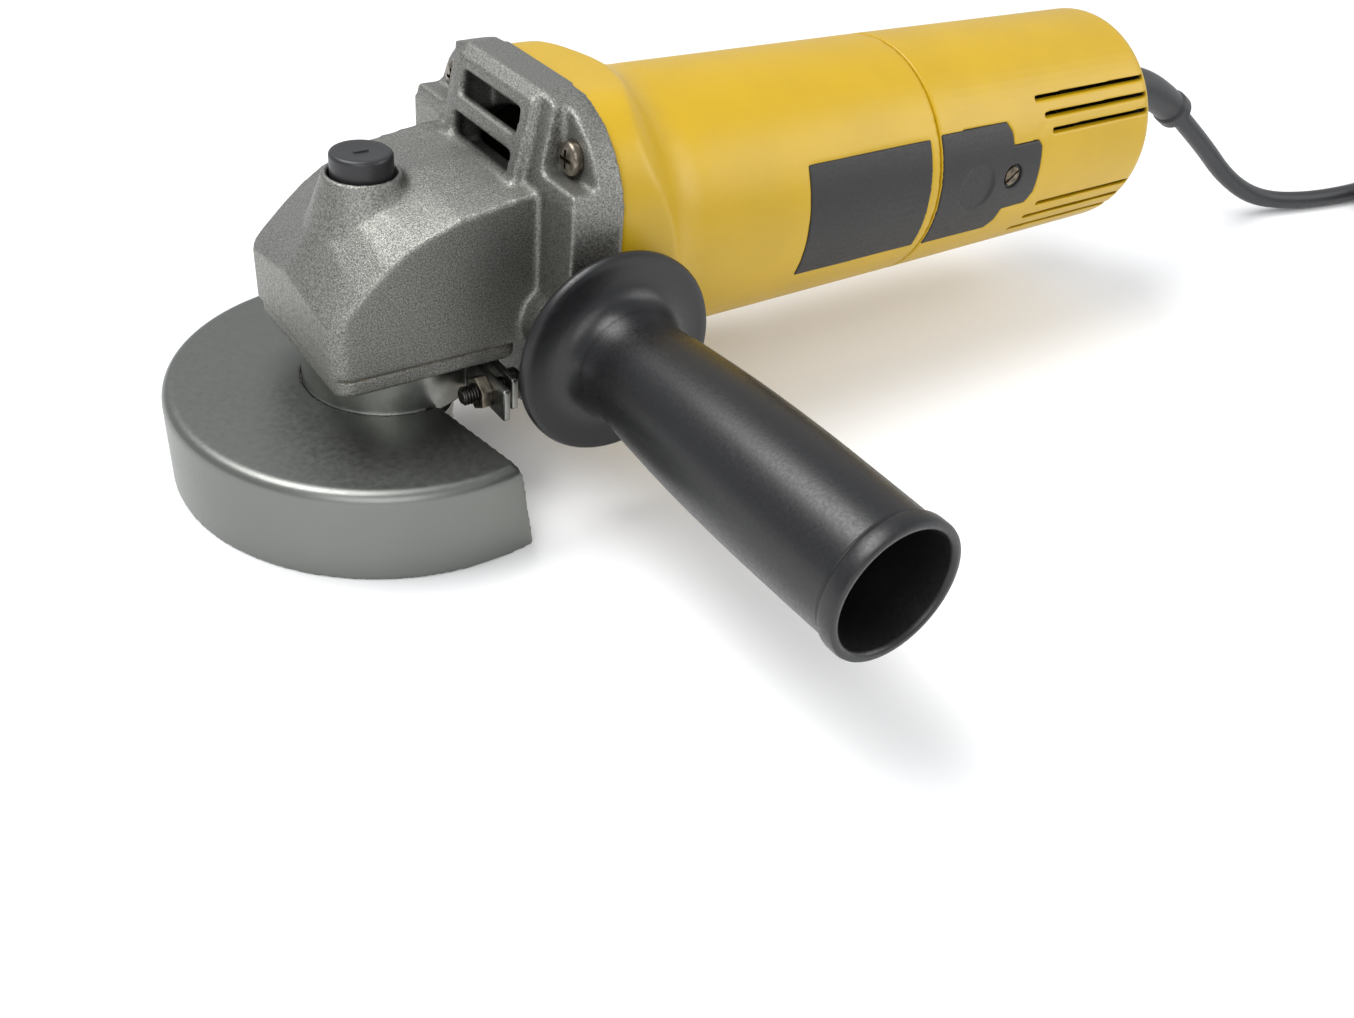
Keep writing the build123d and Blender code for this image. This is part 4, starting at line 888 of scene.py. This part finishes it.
def make_hatch_screws():
    """Slotted cheese-head screws, each a little smaller than its counterbore, turned to different angles."""
    low, high = mm_box("brush_cover_screws")
    x, z = (low.x + high.x) / 2, (low.z + high.z) / 2
    seat = high.y - HATCH_SEAT_DEPTH
    parts = []
    for side, slot_angle in ((-1, 35), (1, 110)):
        profile = [(0, HATCH_HEAD), (HATCH_HEAD_R - 0.5, HATCH_HEAD),
                   (HATCH_HEAD_R - 0.15, HATCH_HEAD - 0.15),
                   (HATCH_HEAD_R, HATCH_HEAD - 0.5), (HATCH_HEAD_R, 0)]
        profile += [(r, -h) for r, h in thread(1.48, 0.6, 0.2, HATCH_SHANK)] + [(0, -HATCH_SHANK - 0.2)]
        bm = turned(profile, 40, closed=False)
        half = HATCH_HEAD_R + 1
        bar = slab([(-half, -0.38), (half, -0.38), (half, 0.38), (-half, 0.38)], 1.5)
        bm = cut(bm, place(bar, move=(0, 0, HATCH_HEAD - 0.6)))
        place(bm, turn=(0, 0, slot_angle))
        parts.append(place(bm, turn=(-90 * side, 0, 0), move=(x, side * seat, z)))
    add_piece("hatch_screws", join(*parts), "slotted_steel", "root", ("brush_cover_screws",))


class GrinderHandle(bpy.types.Operator):
    """Turned side grip with its flange, waist and ringed open mouth"""
    bl_idname = "grinder.handle"
    bl_label = "Side handle"

    def execute(self, context):
        steps = context.scene.grinder_sizes.grip_facets
        end = HANDLE_LENGTH
        rim = FLANGE_R
        fillet = [(19.6, 3.2), (17.4, 3.9), (15.7, 5.5), (14.75, 8.2)]
        barrel = flowing([(14.75, 8.2), (14.1, 14), (15.1, 26), (16.2, 46), (16.6, 66), (16.5, 84),
                          (16.3, end - 6)], 8)
        lip = [(16.3, end - 5.6), (16.0, end - 5.1), (16.5, end - 4.6), (17.0, end - 4.3), (17.15, end - 3.6),
               (17.15, end - 1.0), (16.9, end - 0.3), (16.3, end)]
        inside = [(15.4, end), (14.9, end - 0.4), (14.7, end - 1.2), (13.8, end - 8), (11.3, 27),
                  (10.9, 26.2), (10.4, 26), (GRIP_BORE, 26)]
        flange = [(GRIP_BORE, 0), (rim - 1.5, 0), (rim - 0.5, 0.3), (rim - 0.05, 1.0), (rim, 1.6),
                  (rim - 0.05, 2.2), (rim - 0.5, 2.9), (rim - 1.5, 3.2), (rim - 2.6, 3.0), (21.5, 3.0)]
        profile = flange + fillet + barrel + lip + inside
        bm = place(turned(profile, steps), turn=(90, 0, 0), move=(HANDLE_X, HANDLE_FACE, HANDLE_Z))
        add_piece("side_grip", bm, "grip_plastic", "side_handle", ("handle_grip",), 40)
        return {"FINISHED"}


class GrinderCord(bpy.types.Operator):
    """Lay the mains cord from the boot to its tied coil and the plug"""
    bl_idname = "grinder.cord"
    bl_label = "Cord"

    def execute(self, context):
        sizes = context.scene.grinder_sizes
        make_boot()
        plug = softened("plug_moulding", "plug_body", "plug_plastic", "root", 0.45, 8)
        pins = softened("plug_pin_pair", "plug_pins", "brass_pin", "root", 0.25, 3)
        cord = make_cord(sizes)
        return {"FINISHED"}


OPERATORS = (GrinderFinishes, GrinderStage, GrinderHead, GrinderGuard, GrinderBody, GrinderHandle,
             GrinderCord)


class GrinderPanel(bpy.types.Panel):
    """Buttons for each group of pieces"""
    bl_idname = "VIEW3D_PT_grinder"
    bl_label = "Angle grinder"
    bl_space_type = "VIEW_3D"
    bl_region_type = "UI"
    bl_category = "Grinder"

    def draw(self, context):
        for group in (context.scene.grinder_sizes, context.scene.grinder_colours):
            for name in group.bl_rna.properties.keys():
                if name not in ("rna_type", "name"):
                    self.layout.prop(group, name)
        for operator in OPERATORS:
            self.layout.operator(operator.bl_idname)


CLASSES = (GrinderSizes, GrinderColours, *OPERATORS, GrinderPanel)


def register():
    for cls in CLASSES:
        bpy.utils.register_class(cls)
    bpy.types.Scene.grinder_sizes = PointerProperty(type=GrinderSizes)
    bpy.types.Scene.grinder_colours = PointerProperty(type=GrinderColours)


def unregister():
    del bpy.types.Scene.grinder_colours
    del bpy.types.Scene.grinder_sizes
    for cls in reversed(CLASSES):
        bpy.utils.unregister_class(cls)


def main():
    register()
    bpy.ops.grinder.finishes()
    bpy.ops.grinder.stage()
    bpy.ops.grinder.head()
    bpy.ops.grinder.guard()
    bpy.ops.grinder.body()
    bpy.ops.grinder.handle()
    bpy.ops.grinder.cord()


if __name__ == "__main__":
    main()
